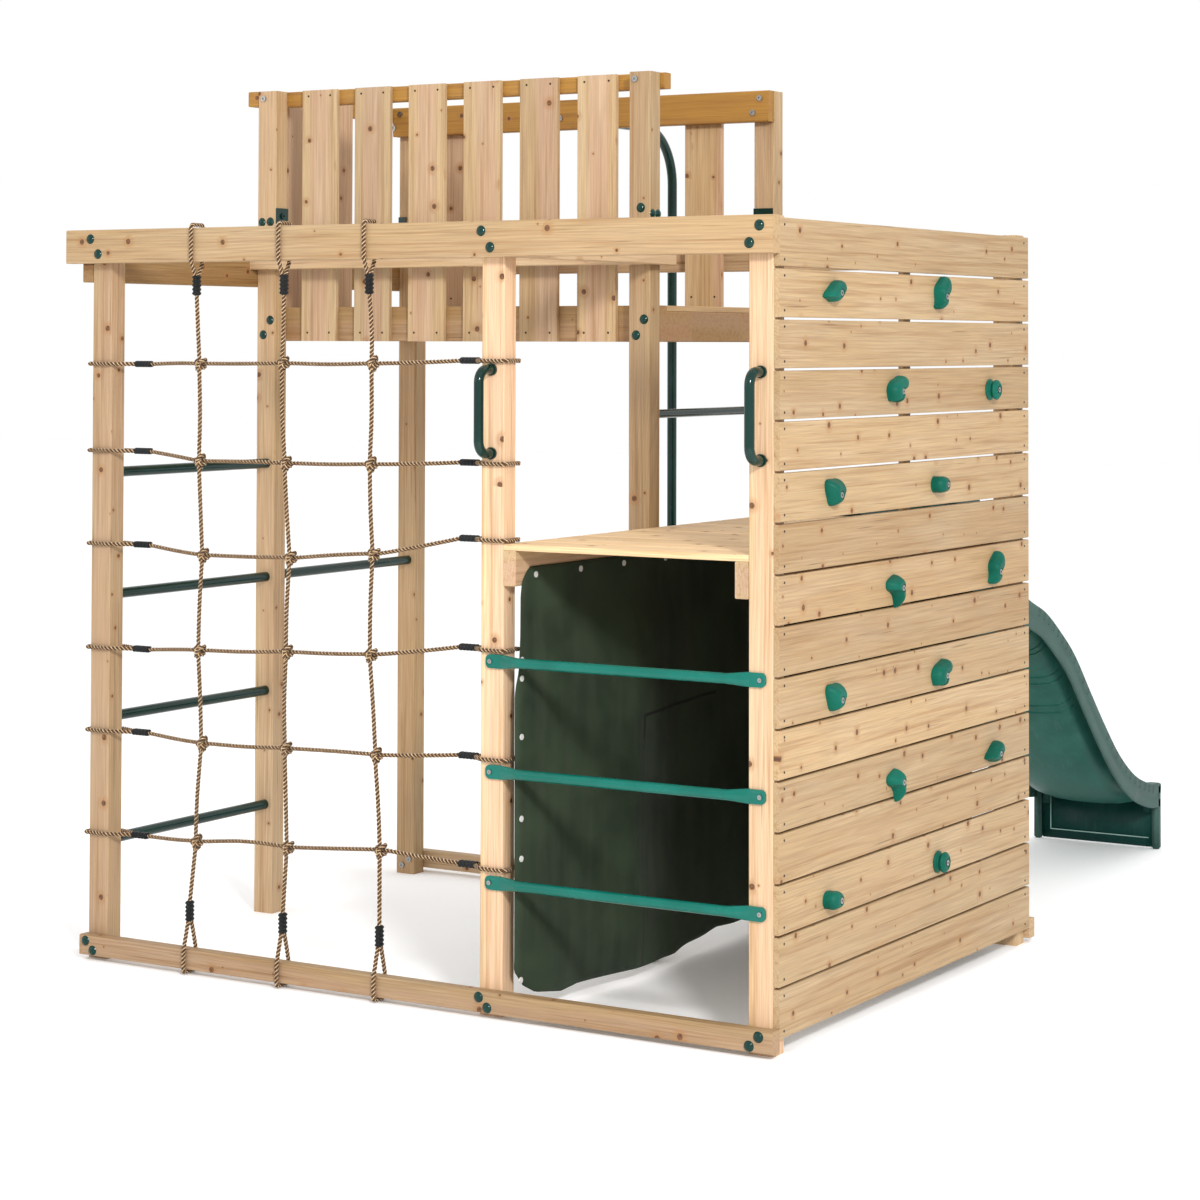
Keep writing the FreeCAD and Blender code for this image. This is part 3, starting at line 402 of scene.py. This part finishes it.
def lay_rope(verts, faces, points, radius=ROPE):
    """Three twisted strands along a rope's line, added to verts and faces."""
    line, length = route(points, ROPE_STEP)
    one, two = frames(line)
    strand, off = radius * STRAND_PART, radius * OFF_PART
    sides = STRAND_SIDES
    for number in range(3):
        first = len(verts)
        turn = 2 * math.pi * (number / 3 + np.linspace(0, length / LAY, len(line)))
        middle = line + off * (np.cos(turn)[:, None] * one + np.sin(turn)[:, None] * two)
        for spot in range(len(line)):
            for side in range(sides):
                a = 2 * math.pi * (side - 0.5) / sides + turn[spot]
                verts.append(middle[spot] + strand * (math.cos(a) * one[spot] + math.sin(a) * two[spot]))
        for spot in range(len(line) - 1):
            for side in range(sides):
                a, b = first + spot * sides + side, first + spot * sides + (side + 1) % sides
                faces.append((a, b, b + sides, a + sides))


def rope_fibre(name, dark, middle, light):
    """Hairy laid fibre with brown flecks."""
    g = Graph(name)
    fleck = g.noise(g.where, 190.0, 3.0, 0.7)
    fibres = g.noise(g.where, 1500.0, 2.0)
    base = g.ramp(fleck, [(0.34, dark), (0.5, middle), (0.72, light)])
    base = g.mix(g.span(g.noise(g.where, 24.0), 0.3, 0.7, 0.0, 0.3), base, middle)
    g.set(Base_Color=base, Roughness=g.span(fibres, 0.3, 0.7, 0.62, 0.85))
    g.shader.inputs["Sheen Weight"].default_value = 0.2
    g.bump(fibres, 0.0004, 0.8)
    return g.material


rope_look = rope_fibre("laid_rope", (0.34, 0.20, 0.09), (0.62, 0.43, 0.23), (0.90, 0.74, 0.50))
# near-black copy of the rope's fibre: painted shade for the gaps between strands
rope_painted_shade = rope_fibre("laid_rope_painted_shade", (0.04, 0.018, 0.008), (0.10, 0.048, 0.022), (0.19, 0.10, 0.046))

# the net, in millimetres: each upright's place at its six crossings and at its ferrules, and each row's
# height at its left ferrule, at the three uprights and at its right ferrule
UPRIGHT_LEFTS = ((1822, 1821, 1808, 1819, 1807, 1824),
                 (1534, 1523, 1505, 1515, 1517, 1509),
                 (1234, 1238, 1228, 1235, 1216, 1200))
TOP_LEFTS, LOW_LEFTS = (1813, 1510, 1225), (1823, 1502, 1182)
ROW_HEIGHTS = ((1680, 1683, 1686, 1687, 1696), (1434, 1412, 1413, 1417, 1428),
               (1170, 1151, 1156, 1178, 1229), (876, 887, 900, 909, 944),
               (642, 630, 638, 643, 661), (353, 358, 371, 392, 378))
UPRIGHT_BACK, ROW_BACK, POST_MIDDLE, BEAM_MIDDLE = 43.5, 56, 67, 19
TOP_FERRULE, LOW_FERRULE, LEFT_FERRULE, RIGHT_FERRULE = 1900, 172, 2040, 932
LEG = 6.1                         # half the distance between a loop's legs where they leave the ferrule
ROPE_END, MOUTH = 25, 26          # from a ferrule's middle to its rope's end and to its loop
OFF_TIMBER = 7.5                  # from a timber's face to the middle of the rope round it
UPRIGHT_BEAM, ROW_POST = 38, 58   # thickness of the beams and depth of the posts that the loops go round
TOP_NEAR, TOP_FAR, LOW_NEAR, LOW_FAR = 1965, 2060, 70, 14   # faces of the beams, heights above ground
POST_OUTER_LEFT, POST_INNER_LEFT = 2205, 2135
POST_OUTER_MID, POST_INNER_MID = 807, 877


def loop_points(mouth, across, along, width, far, legs):
    """Control points of a loop from a ferrule round a timber, in millimetres from its mouth."""
    side = width / 2 + OFF_TIMBER
    out = far + OFF_TIMBER
    spots = [(LEG, 0), (side, legs), (side, legs + 14), (side, out - 18), (side, out), (side - 16, out)]
    spots += [(-a, b) for a, b in reversed(spots)]
    return [mouth + across * (a / 1000) + along * (b / 1000) for a, b in spots]


def knot(verts, faces, centre, lean):
    """Three turns of thinner rope lashed round a crossing: (tilt, half width, height)."""
    turns = ((lean, 0.0155, 0.004), (lean + 1.75, 0.0145, -0.002), (lean + 0.5, 0.0165, -0.005))
    for tilt, wide, slip in turns:
        cross = Vector((math.cos(tilt), 0, math.sin(tilt)))
        ring = [centre + cross * (wide * math.cos(a)) + to_back * (0.0150 * math.sin(a))
                + Vector((-math.sin(tilt), 0, math.cos(tilt))) * (0.0028 * math.sin(a + tilt))
                for a in np.linspace(0, 2 * math.pi, 13)]
        lay_rope(verts, faces, [spot + up * slip for spot in ring], LASHING)


to_back, up, right = Vector((0, 1, 0)), Vector((0, 0, 1)), Vector((1, 0, 0))
net = {}
for number, lefts in enumerate(UPRIGHT_LEFTS, start=1):
    verts, faces = [], []
    heights = [row[number] for row in ROW_HEIGHTS]
    top = place(TOP_LEFTS[number - 1], BEAM_MIDDLE, TOP_FERRULE)
    low = place(LOW_LEFTS[number - 1], BEAM_MIDDLE, LOW_FERRULE)
    points = [top - up * (ROPE_END / 1000)]
    for left, height in zip(lefts, heights):
        here = place(left, UPRIGHT_BACK, height)
        middle = (points[-1] + here) / 2
        points += [middle + Vector((rng.uniform(-5, 5), rng.uniform(-2, 2), 0)) / 1000,
                   here + up * 0.012, here, here - up * 0.012]
    points += [(points[-1] + low + up * (ROPE_END / 1000)) / 2, low + up * (ROPE_END / 1000)]
    lay_rope(verts, faces, points)
    lay_rope(verts, faces, loop_points(top + up * (MOUTH / 1000), to_back, up, UPRIGHT_BEAM,
                                       TOP_FAR - TOP_FERRULE - MOUTH, TOP_NEAR - TOP_FERRULE - MOUTH))
    lay_rope(verts, faces, loop_points(low - up * (MOUTH / 1000), to_back, -up, UPRIGHT_BEAM,
                                       LOW_FERRULE - LOW_FAR - MOUTH, LOW_FERRULE - LOW_NEAR - MOUTH))
    for left, height in zip(lefts, heights):
        knot(verts, faces, place(left, (UPRIGHT_BACK + ROW_BACK) / 2, height), rng.uniform(0.3, 0.9))
    net[f"net_upright_{number}"] = (verts, faces)
for number, heights in enumerate(ROW_HEIGHTS, start=1):
    verts, faces = [], []
    start = place(LEFT_FERRULE, POST_MIDDLE, heights[0])
    end = place(RIGHT_FERRULE, POST_MIDDLE, heights[-1])
    points = [start + right * (ROPE_END / 1000)]
    for lefts, height in zip(UPRIGHT_LEFTS, heights[1:-1]):
        here = place(lefts[number - 1], ROW_BACK, height)
        middle = (points[-1] + here) / 2
        # the lowest row stands up in its second bay
        sag = 0.010 if number == 6 and len(points) == 5 else rng.uniform(-0.004, 0.003)
        points += [middle + up * sag, here - right * 0.012, here, here + right * 0.012]
    points += [(points[-1] + end - right * (ROPE_END / 1000)) / 2 - up * 0.002,
               end - right * (ROPE_END / 1000)]
    lay_rope(verts, faces, points)
    lay_rope(verts, faces, loop_points(start - right * (MOUTH / 1000), to_back, -right, ROW_POST,
                                       POST_OUTER_LEFT - LEFT_FERRULE - MOUTH,
                                       POST_INNER_LEFT - LEFT_FERRULE - MOUTH))
    lay_rope(verts, faces, loop_points(end + right * (MOUTH / 1000), to_back, right, ROW_POST,
                                       RIGHT_FERRULE - POST_OUTER_MID - MOUTH,
                                       RIGHT_FERRULE - POST_INNER_MID - MOUTH))
    net[f"net_row_{number}"] = (verts, faces)
for name, (verts, faces) in net.items():
    rope = piece("rope_" + name[4:], verts, faces, rope_look)
    rope.data.materials.append(rope_painted_shade)
    # the side of each strand that faces outwards gets the rope's colour, and the other sides get the
    # near-black copy: painted shade for the gaps between strands
    painted_shade_faces = [0 if n % STRAND_SIDES == 0 else 1 for n in range(len(faces))]
    rope.data.polygons.foreach_set("material_index", painted_shade_faces)
    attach(rope, "root")
    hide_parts(name)


# ------------------------------------------------------------------ ribbed ferrules
FERRULE_LONG, FERRULE_WIDE, FERRULE_DEEP = 0.056, 0.0140, 0.0090   # length and half sizes across


def ferrule(verts, faces, middle, along, across):
    """Flat black sleeve with ribs round it, its length along the rope."""
    third = along.cross(across)
    rows, sides, ribs = 41, 20, 5
    first = len(verts)
    for row in range(rows):
        t = row / (rows - 1)
        swell = 0.80 + 0.20 * min(1.0, max(0.0, 0.5 + 1.4 * math.cos(2 * math.pi * ribs * (t - 0.1))))
        if row in (0, rows - 1):
            swell = 0.62
        for spot in range(sides):
            a = 2 * math.pi * spot / sides
            c, s = math.cos(a), math.sin(a)
            wide = FERRULE_WIDE * math.copysign(abs(c) ** 0.62, c) * (1 - 0.10 * (abs(s) > 0.93))
            deep = FERRULE_DEEP * math.copysign(abs(s) ** 0.62, s)
            verts.append(middle + along * ((t - 0.5) * FERRULE_LONG) + (across * wide + third * deep) * swell)
        if row:
            for spot in range(sides):
                a, b = first + (row - 1) * sides + spot, first + (row - 1) * sides + (spot + 1) % sides
                faces.append((a, b, b + sides, a + sides))
    faces.append(tuple(range(first + sides - 1, first - 1, -1)))
    faces.append(tuple(range(len(verts) - sides, len(verts))))


verts, faces = [], []
for lefts, height in ((TOP_LEFTS, TOP_FERRULE), (LOW_LEFTS, LOW_FERRULE)):
    for left in lefts:
        ferrule(verts, faces, place(left, BEAM_MIDDLE, height), up, to_back)
for heights in ROW_HEIGHTS:
    for left, height in ((LEFT_FERRULE, heights[0]), (RIGHT_FERRULE, heights[-1])):
        ferrule(verts, faces, place(left, POST_MIDDLE, height), right, to_back)
sleeves = piece("ribbed_ferrules", verts, faces, black)
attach(sleeves, "root")
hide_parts("net_ferrules")


# ------------------------------------------------------------------ den cover
g = Graph("cover_cloth")
blotch = g.noise(g.where, 3.2, 4.0, 0.6)
streak = g.noise(g.add("ShaderNodeMapping", {"Vector": g.where, "Scale": (9, 9, 1.4)}).outputs[0], 2.0, 3.0)
axes = g.add("ShaderNodeSeparateXYZ", {0: g.where}).outputs
warp = g.math("SINE", g.math("MULTIPLY", g.math("ADD", axes[0], axes[1]), 3600.0))
weft = g.math("SINE", g.math("MULTIPLY", axes[2], 3600.0))
weave = g.math("MULTIPLY", warp, weft)
base = g.mix(g.span(blotch, 0.32, 0.68), (0.012, 0.022, 0.012), (0.030, 0.052, 0.026))
base = g.mix(g.span(streak, 0.4, 0.75, 0.0, 0.4), base, (0.045, 0.058, 0.036))
base = g.mix(g.span(weave, -1.0, 1.0, 0.0, 0.12), base, (0.06, 0.08, 0.05))


def strip(axis, low, high):
    """1 where one coordinate lies between two values."""
    above = g.math("GREATER_THAN", axes[axis], low)
    return g.math("MULTIPLY", above, g.math("LESS_THAN", axes[axis], high))


# taped edge of a flap on the side panel, and a near-black line down from its corner: painted shade in the
# crease there
slope = g.math("ABSOLUTE", g.math("SUBTRACT", axes[2], g.math("MULTIPLY_ADD", axes[1], 0.03, 0.7505)))
tape_and_crease_shade = g.math("MULTIPLY", g.math("LESS_THAN", slope, 0.0045), strip(1, -1.022, -0.548))
tape_and_crease_shade = g.math("MAXIMUM", tape_and_crease_shade, g.math("MULTIPLY", strip(1, -1.022, -1.013), strip(2, 0.655, 0.722)))
# painted shade: a near-black strip where the cloth creases down from the flap's corner
crease_shade = g.math("MULTIPLY", strip(1, -1.0205, -1.0175), g.math("LESS_THAN", axes[2], 0.66))
tape_and_crease_shade = g.math("MAXIMUM", tape_and_crease_shade, crease_shade)
base = g.mix(g.math("MULTIPLY", tape_and_crease_shade, 0.9), base, (0.003, 0.004, 0.003))
g.set(Base_Color=base, Roughness=g.span(blotch, 0.3, 0.7, 0.62, 0.8))
g.shader.inputs["Sheen Weight"].default_value = 0.05
g.bump(g.math("MULTIPLY_ADD", g.noise(g.where, 500.0), 0.6, weave), 0.0003, 0.5)
cloth = g.material


COVER_FRONT, COVER_BACK, COVER_TOP = 44, 1498, 1160   # the left panel's edges, in millimetres
COVER_HELD = (900, 1105)                              # it hangs free below these heights
COVER_PLANE = 766.3                                   # from the wall face to the cloth where it lies flat
RIDGE_BACK, RIDGE_REACH, RIDGE_OUT = 585, 540, 42     # an upright ridge: place, spread and height
BACK_LEFT, BACK_RIGHT, BACK_LOW = 762, 128, 34        # the back panel's edges
BACK_PLANE = 1500.5
CLOTH_COLUMNS, CLOTH_ROWS, CLOTH_THICK = 150, 96, 0.0015


def ease(value, low, high):
    """Smooth step from 0 at low to 1 at high."""
    t = min(1.0, max(0.0, (value - low) / (high - low)))
    return t * t * (3 - 2 * t)


def lower_edge(back):
    """Height of the left panel's lower edge at a distance back, in millimetres."""
    spots = ((44, 116), (60, 82), (95, 52), (160, 35), (259, 42), (570, 33), (790, 27), (904, 36),
             (1113, 50), (1300, 42), (1498, 38))
    return float(np.interp(back, [s[0] for s in spots], [s[1] for s in spots]))


def front_edge(height):
    """How far back the left panel's front edge is at a height, in millimetres."""
    spots = ((30, 150), (52, 84), (82, 58), (130, 46), (860, 45), (900, 50), (980, 56), (1085, 58),
             (1120, 64), (1145, 82), (1160, 104))
    return float(np.interp(height, [s[0] for s in spots], [s[1] for s in spots]))


def left_panel(s, t):
    """Point of the left panel: s runs from front to back and t from top to bottom, both 0 to 1."""
    back = COVER_FRONT + (COVER_BACK - COVER_FRONT) * s
    high = COVER_TOP - t * (COVER_TOP - lower_edge(back))
    back = front_edge(high) + (COVER_BACK - front_edge(high)) * s
    free = 1 - ease(high, *COVER_HELD)
    from_ridge = abs(back - RIDGE_BACK)
    ridge = RIDGE_OUT * (1 - from_ridge / RIDGE_REACH) if from_ridge < RIDGE_REACH else 0
    folds = 5.0 * math.sin(back / 83 + 0.6 * math.sin(high / 240)) * ease(back, 150, 400)
    folds += 3.0 * math.sin(back / 31 + high / 190) * ease(back, 620, 800)
    folds += 4 * math.sin(high / 150 + back / 300)
    curl = -9 * ease(62 - back, 0, 18) * (1 - ease(high, 820, 900))
    curl -= 10 * ease(160 - high, 0, 130) * (1 - s)
    rest = free * (ridge + folds * ease(back, 70, 200)) + curl
    return WALL_FACE - (COVER_PLANE - rest) / 1000, FRONT + back / 1000, high / 1000


def back_panel(s, t):
    """Point of the back panel: s runs from left to right and t from top to bottom, both 0 to 1."""
    left = BACK_LEFT - (BACK_LEFT - BACK_RIGHT) * s
    high = COVER_TOP - t * (COVER_TOP - BACK_LOW - 6 * math.sin(s * 9))
    free = 1 - ease(high, *COVER_HELD)
    folds = free * (6 * math.sin(left / 47 + math.sin(high / 230)) - 6)
    return WALL_FACE - left / 1000, FRONT + (BACK_PLANE + folds) / 1000, high / 1000


def cloth_sheet(name, shape, columns, rows):
    """Grid of faces over a panel's shape."""
    verts = [shape(s / columns, t / rows) for t in range(rows + 1) for s in range(columns + 1)]
    faces = [(r * (columns + 1) + c, (r + 1) * (columns + 1) + c, (r + 1) * (columns + 1) + c + 1,
              r * (columns + 1) + c + 1) for r in range(rows) for c in range(columns)]
    return piece(name, verts, faces, cloth)


for name, shape, flat in (("den_cover_left", left_panel, (1.456, 1.130)),
                          ("den_cover_back", back_panel, (0.642, 1.130))):
    panel = cloth_sheet(name, shape, CLOTH_COLUMNS, CLOTH_ROWS)
    thick = panel.modifiers.new("thick", "SOLIDIFY")
    thick.thickness, thick.offset = CLOTH_THICK, 0
    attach(panel, "root")
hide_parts("den_cover")


# ------------------------------------------------------------------ slide
def slide_look(name, colour, roughness):
    """Rotomoulded plastic: fine pebbled grain, chalky patches and scuffs along the run."""
    g = Graph(name)
    grain = g.noise(g.where, 420.0, 3.0)
    chalk = g.noise(g.where, 7.0, 4.0, 0.65)
    stretched = g.add("ShaderNodeMapping", {"Vector": g.where, "Scale": (60, 8, 8)}).outputs[0]
    drawn = g.noise(stretched, 1.0, 4.0, 0.7)
    base = g.mix(g.span(chalk, 0.3, 0.72), tuple(c * 0.8 for c in colour),
                 tuple(c * 1.15 + 0.006 for c in colour))
    base = g.mix(g.span(drawn, 0.55, 0.75, 0.0, 0.16), base, tuple(c * 0.6 + 0.14 for c in colour))
    base = g.mix(g.span(grain, 0.35, 0.7, 0.0, 0.18), base, tuple(c * 1.3 + 0.02 for c in colour))
    g.set(Base_Color=base, Roughness=g.span(chalk, 0.3, 0.7, roughness, roughness + 0.12))
    g.bump(grain, 0.0006, 0.6)
    return g.material


slide_side = slide_look("slide_side", (0.034, 0.082, 0.068), 0.42)
slide_bed = slide_look("slide_bed", (0.014, 0.092, 0.070), 0.36)
slide_foot = slide_look("slide_foot", (0.003, 0.040, 0.033), 0.30)
SLIDE_EDGE = ((1590, 1330), (1700, 1318), (1840, 1205), (1985, 1035), (2137, 951), (2283, 896),
              (2410, 822), (2528, 738), (2658, 612), (2792, 484), (2928, 368), (3069, 284),
              (3213, 238), (3313, 226))
MID_X, SLIDE_HALF = WALL_FACE - 0.447, 0.230   # the slide's middle and half its width, in metres
SLIDE_END = 3.313                              # from the frame's front to the end of the run-out
SPAN_STEPS = 10                                # steps between two of the edge's stations
RIB_STATIONS = (40, 52, 60, 72, 80)            # steps along the edge where a pair of ribs starts
DIMPLE_ROWS = (range(46, 82, 3), range(92, 124, 3))
DIMPLE_DROP = 0.020                            # from the edge down to the middle of a dimple


def slide_line():
    """The top edge of the side walls, smooth through its stations, as (back, up) in metres."""
    spots = [Vector(p) / 1000 for p in SLIDE_EDGE]
    ends = [spots[0] * 2 - spots[1]] + spots + [spots[-1] * 2 - spots[-2]]
    line = []
    for a, b, c, d in zip(ends, ends[1:], ends[2:], ends[3:]):
        for step in range(SPAN_STEPS):
            t = step / SPAN_STEPS
            line.append(b * (1 - 3 * t * t + 2 * t ** 3) + c * (3 * t * t - 2 * t ** 3)
                        + (c - a) / 2 * (t - 2 * t * t + t ** 3) + (d - b) / 2 * (t ** 3 - t * t))
    return line + [spots[-1]]


edge_line = slide_line()


def slide_frame(index):
    """Point and the direction square to the run, pointing down, at a station of the edge line."""
    a, b = edge_line[max(0, index - 1)], edge_line[min(len(edge_line) - 1, index + 1)]
    along = (b - a).normalized()
    return edge_line[index], Vector((along.y, -along.x))


# half of the channel's section, (across, drop): its upper face from the middle outwards, then its
# under face back to the middle
INSIDE = ((0.0, 0.0730), (0.055, 0.0718), (0.102, 0.0680), (0.132, 0.0600), (0.150, 0.0460),
          (0.163, 0.0260), (0.175, 0.0085), (0.184, 0.0022), (0.192, 0.0), (0.221, 0.0),
          (0.2272, 0.0018), (0.2300, 0.0065), (0.2300, 0.034), (0.2286, 0.037), (0.2286, 0.052),
          (0.2300, 0.055), (0.2300, 0.080), (0.2285, 0.084))
UNDER = ((0.2225, 0.084), (0.2220, 0.080), (0.2220, 0.026), (0.2190, 0.0130), (0.2080, 0.0105),
         (0.1920, 0.0110), (0.1830, 0.0150), (0.1720, 0.0340), (0.1600, 0.0550), (0.1410, 0.0700),
         (0.1060, 0.0780), (0.056, 0.0820), (0.0, 0.0830))
BED_HALF = 0.2215                              # faces nearer the middle than this are the bed's
half = INSIDE + UNDER
ring = half + tuple((-x, d) for x, d in reversed(half[1:-1]))
verts, faces = [], []
for index in range(len(edge_line)):
    spot, down = slide_frame(index)
    for across, drop in ring:
        point = spot + down * drop
        verts.append((MID_X + across, FRONT + min(point.x, SLIDE_END), max(point.y, 0.002)))
count = len(ring)
for index in range(len(edge_line) - 1):
    for spot in range(count):
        a, b = index * count + spot, index * count + (spot + 1) % count
        faces.append((a, b, b + count, a + count))
faces.append(tuple(range(count - 1, -1, -1)))
faces.append(tuple(range(len(verts) - count, len(verts))))
slide = piece("wave_slide", verts, faces, slide_side)
slide.data.materials.append(slide_bed)
for face in slide.data.polygons:
    if abs(face.center.x - MID_X) < BED_HALF:
        face.material_index = 1
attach(slide, "root")
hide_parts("slide")


def rounded_block(name, low, high, radius, material, segments=3):
    """Box with rounded edges between two corners, carried by the slide."""
    mesh = bpy.data.meshes.new(name)
    block = bmesh.new()
    bmesh.ops.create_cube(block, size=1.0)
    low, high = Vector(low), Vector(high)
    for vert in block.verts:
        vert.co = Vector([(low[i] + high[i]) / 2 + vert.co[i] * (high[i] - low[i]) for i in range(3)])
    bmesh.ops.bevel(block, geom=block.edges[:], offset=radius, segments=segments, affect="EDGES")
    block.to_mesh(mesh)
    block.free()
    mesh.materials.append(material)
    mesh.shade_smooth()
    thing = bpy.data.objects.new(name, mesh)
    scene.collection.objects.link(thing)
    thing.parent = slide
    return thing


# the foot: two legs, a sunk panel between them, and webs that close the panel's upper corners
end_y = FRONT + SLIDE_END
for side, hand in ((-1, "left"), (1, "right")):
    low_x, high_x = sorted((MID_X + side * SLIDE_HALF, MID_X + side * 0.204))
    rounded_block(f"slide_leg_{hand}", (low_x, end_y - 0.030, 0.0), (high_x, end_y, 0.222), 0.005, slide_side)
rounded_block("slide_foot_panel", (MID_X - 0.205, end_y - 0.016, 0.004),
              (MID_X + 0.205, end_y - 0.006, 0.168), 0.004, slide_foot)
for side, hand in ((-1, "left"), (1, "right")):
    low_x, high_x = sorted((MID_X + side * 0.168, MID_X + side * 0.208))
    rounded_block(f"slide_web_{hand}", (low_x, end_y - 0.018, 0.120), (high_x, end_y - 0.006, 0.2155),
                  0.003, slide_foot)
# pale lip along the foot panel and pale upright strip at its left: painted highlight on edges that catch the
# light
rim_highlight = moulded("slide_rim_painted_highlight", (0.30, 0.44, 0.40), 0.4)
rounded_block("slide_foot_lip_highlight", (MID_X - 0.170, end_y - 0.019, 0.034),
              (MID_X + 0.190, end_y - 0.015, 0.0375), 0.001, rim_highlight, 2)
rounded_block("slide_foot_seam_highlight", (MID_X - 0.172, end_y - 0.019, 0.034),
              (MID_X - 0.1685, end_y - 0.015, 0.150), 0.001, rim_highlight, 2)

# pairs of stiffening ribs under the bed
RIB_SECTION = ((-0.005, -0.002), (-0.0028, 0.0035), (0.0028, 0.0035), (0.005, -0.002))   # (along, down)
for station in RIB_STATIONS:
    for pair, shift in enumerate((0, 2)):
        verts, faces = [], []
        spot, down = slide_frame(station + shift)
        along = Vector((down.y, -down.x))
        spots = [(x, d) for x, d in UNDER if x < 0.175]
        spots = spots + [(-x, d) for x, d in reversed(spots[:-1])]
        for across, drop in spots:
            for off, lower in RIB_SECTION:
                point = spot + down * (drop + lower) + along * off
                verts.append((MID_X + across, FRONT + point.x, point.y))
        for n in range(len(spots) - 1):
            for k in range(4):
                a, b = n * 4 + k, n * 4 + (k + 1) % 4
                faces.append((a, b, b + 4, a + 4))
        rib = piece(f"slide_rib_{station}_{pair}", verts, faces, slide_bed, False)
        rib.parent = slide

# dimples along the outer faces of the side walls, coloured near black: painted shade in their hollows
dark = moulded("slide_dimple", (0.006, 0.022, 0.018), 0.5)
corners = 10
verts, faces = [], []
for stations in DIMPLE_ROWS:
    for station in stations:
        spot, down = slide_frame(station)
        along = Vector((down.y, -down.x))
        middle = spot + down * DIMPLE_DROP
        for side in (-1, 1):
            first = len(verts)
            for k in range(corners):
                a = 2 * math.pi * k / corners
                point = spot + down * (DIMPLE_DROP + 0.0130 * math.sin(a)) + along * (0.0075 * math.cos(a))
                verts.append((MID_X + side * 0.2303, FRONT + point.x, point.y))
            verts.append((MID_X + side * 0.2292, FRONT + middle.x, middle.y))
            for k in range(corners):
                loop = (first + k, first + (k + 1) % corners, first + corners)
                faces.append(loop if side > 0 else loop[::-1])
marks = piece("slide_dimples", verts, faces, dark)
marks.parent = slide


# ------------------------------------------------------------------ floor, world and lamps
g = Graph("studio_floor")
g.set(Base_Color=g.mix(g.noise(g.where, 0.7), (0.95, 0.95, 0.95), (0.97, 0.97, 0.97)),
      Roughness=g.span(g.noise(g.where, 3.0), 0.3, 0.7, 0.75, 0.85))
g.set(Emission_Color=(1.0, 1.0, 1.0), Emission_Strength=0.09)
FLOOR_HALF = 30
corners = [(-FLOOR_HALF, -FLOOR_HALF, 0), (FLOOR_HALF, -FLOOR_HALF, 0),
           (FLOOR_HALF, FLOOR_HALF, 0), (-FLOOR_HALF, FLOOR_HALF, 0)]
floor = piece("floor", corners, [(0, 1, 2, 3)], g.material)

world = bpy.data.worlds.new("studio")
scene.world = world
world.use_nodes = True
sky = world.node_tree.nodes["Background"].inputs
sky["Color"].default_value = (1.0, 1.0, 1.0, 1)
sky["Strength"].default_value = 1.0


def lamp(name, spot, target, size, power):
    """Round area lamp that faces a target; sizes in metres, power in watts."""
    data = bpy.data.lights.new(name, "AREA")
    data.shape, data.size, data.energy = "DISK", size, power
    thing = bpy.data.objects.new(name, data)
    thing.location = spot
    thing.rotation_euler = (Vector(target) - Vector(spot)).to_track_quat("-Z", "Y").to_euler()
    scene.collection.objects.link(thing)


lamp("key", (5.8, -6.6, 4.6), (0.3, 0, 1.0), 1.2, 520)
lamp("fill", (-5.0, -6.0, 4.0), (0, 0, 1.0), 4.0, 40)
lamp("top", (0.5, 0.5, 6.5), (0, 0, 0), 5.0, 70)
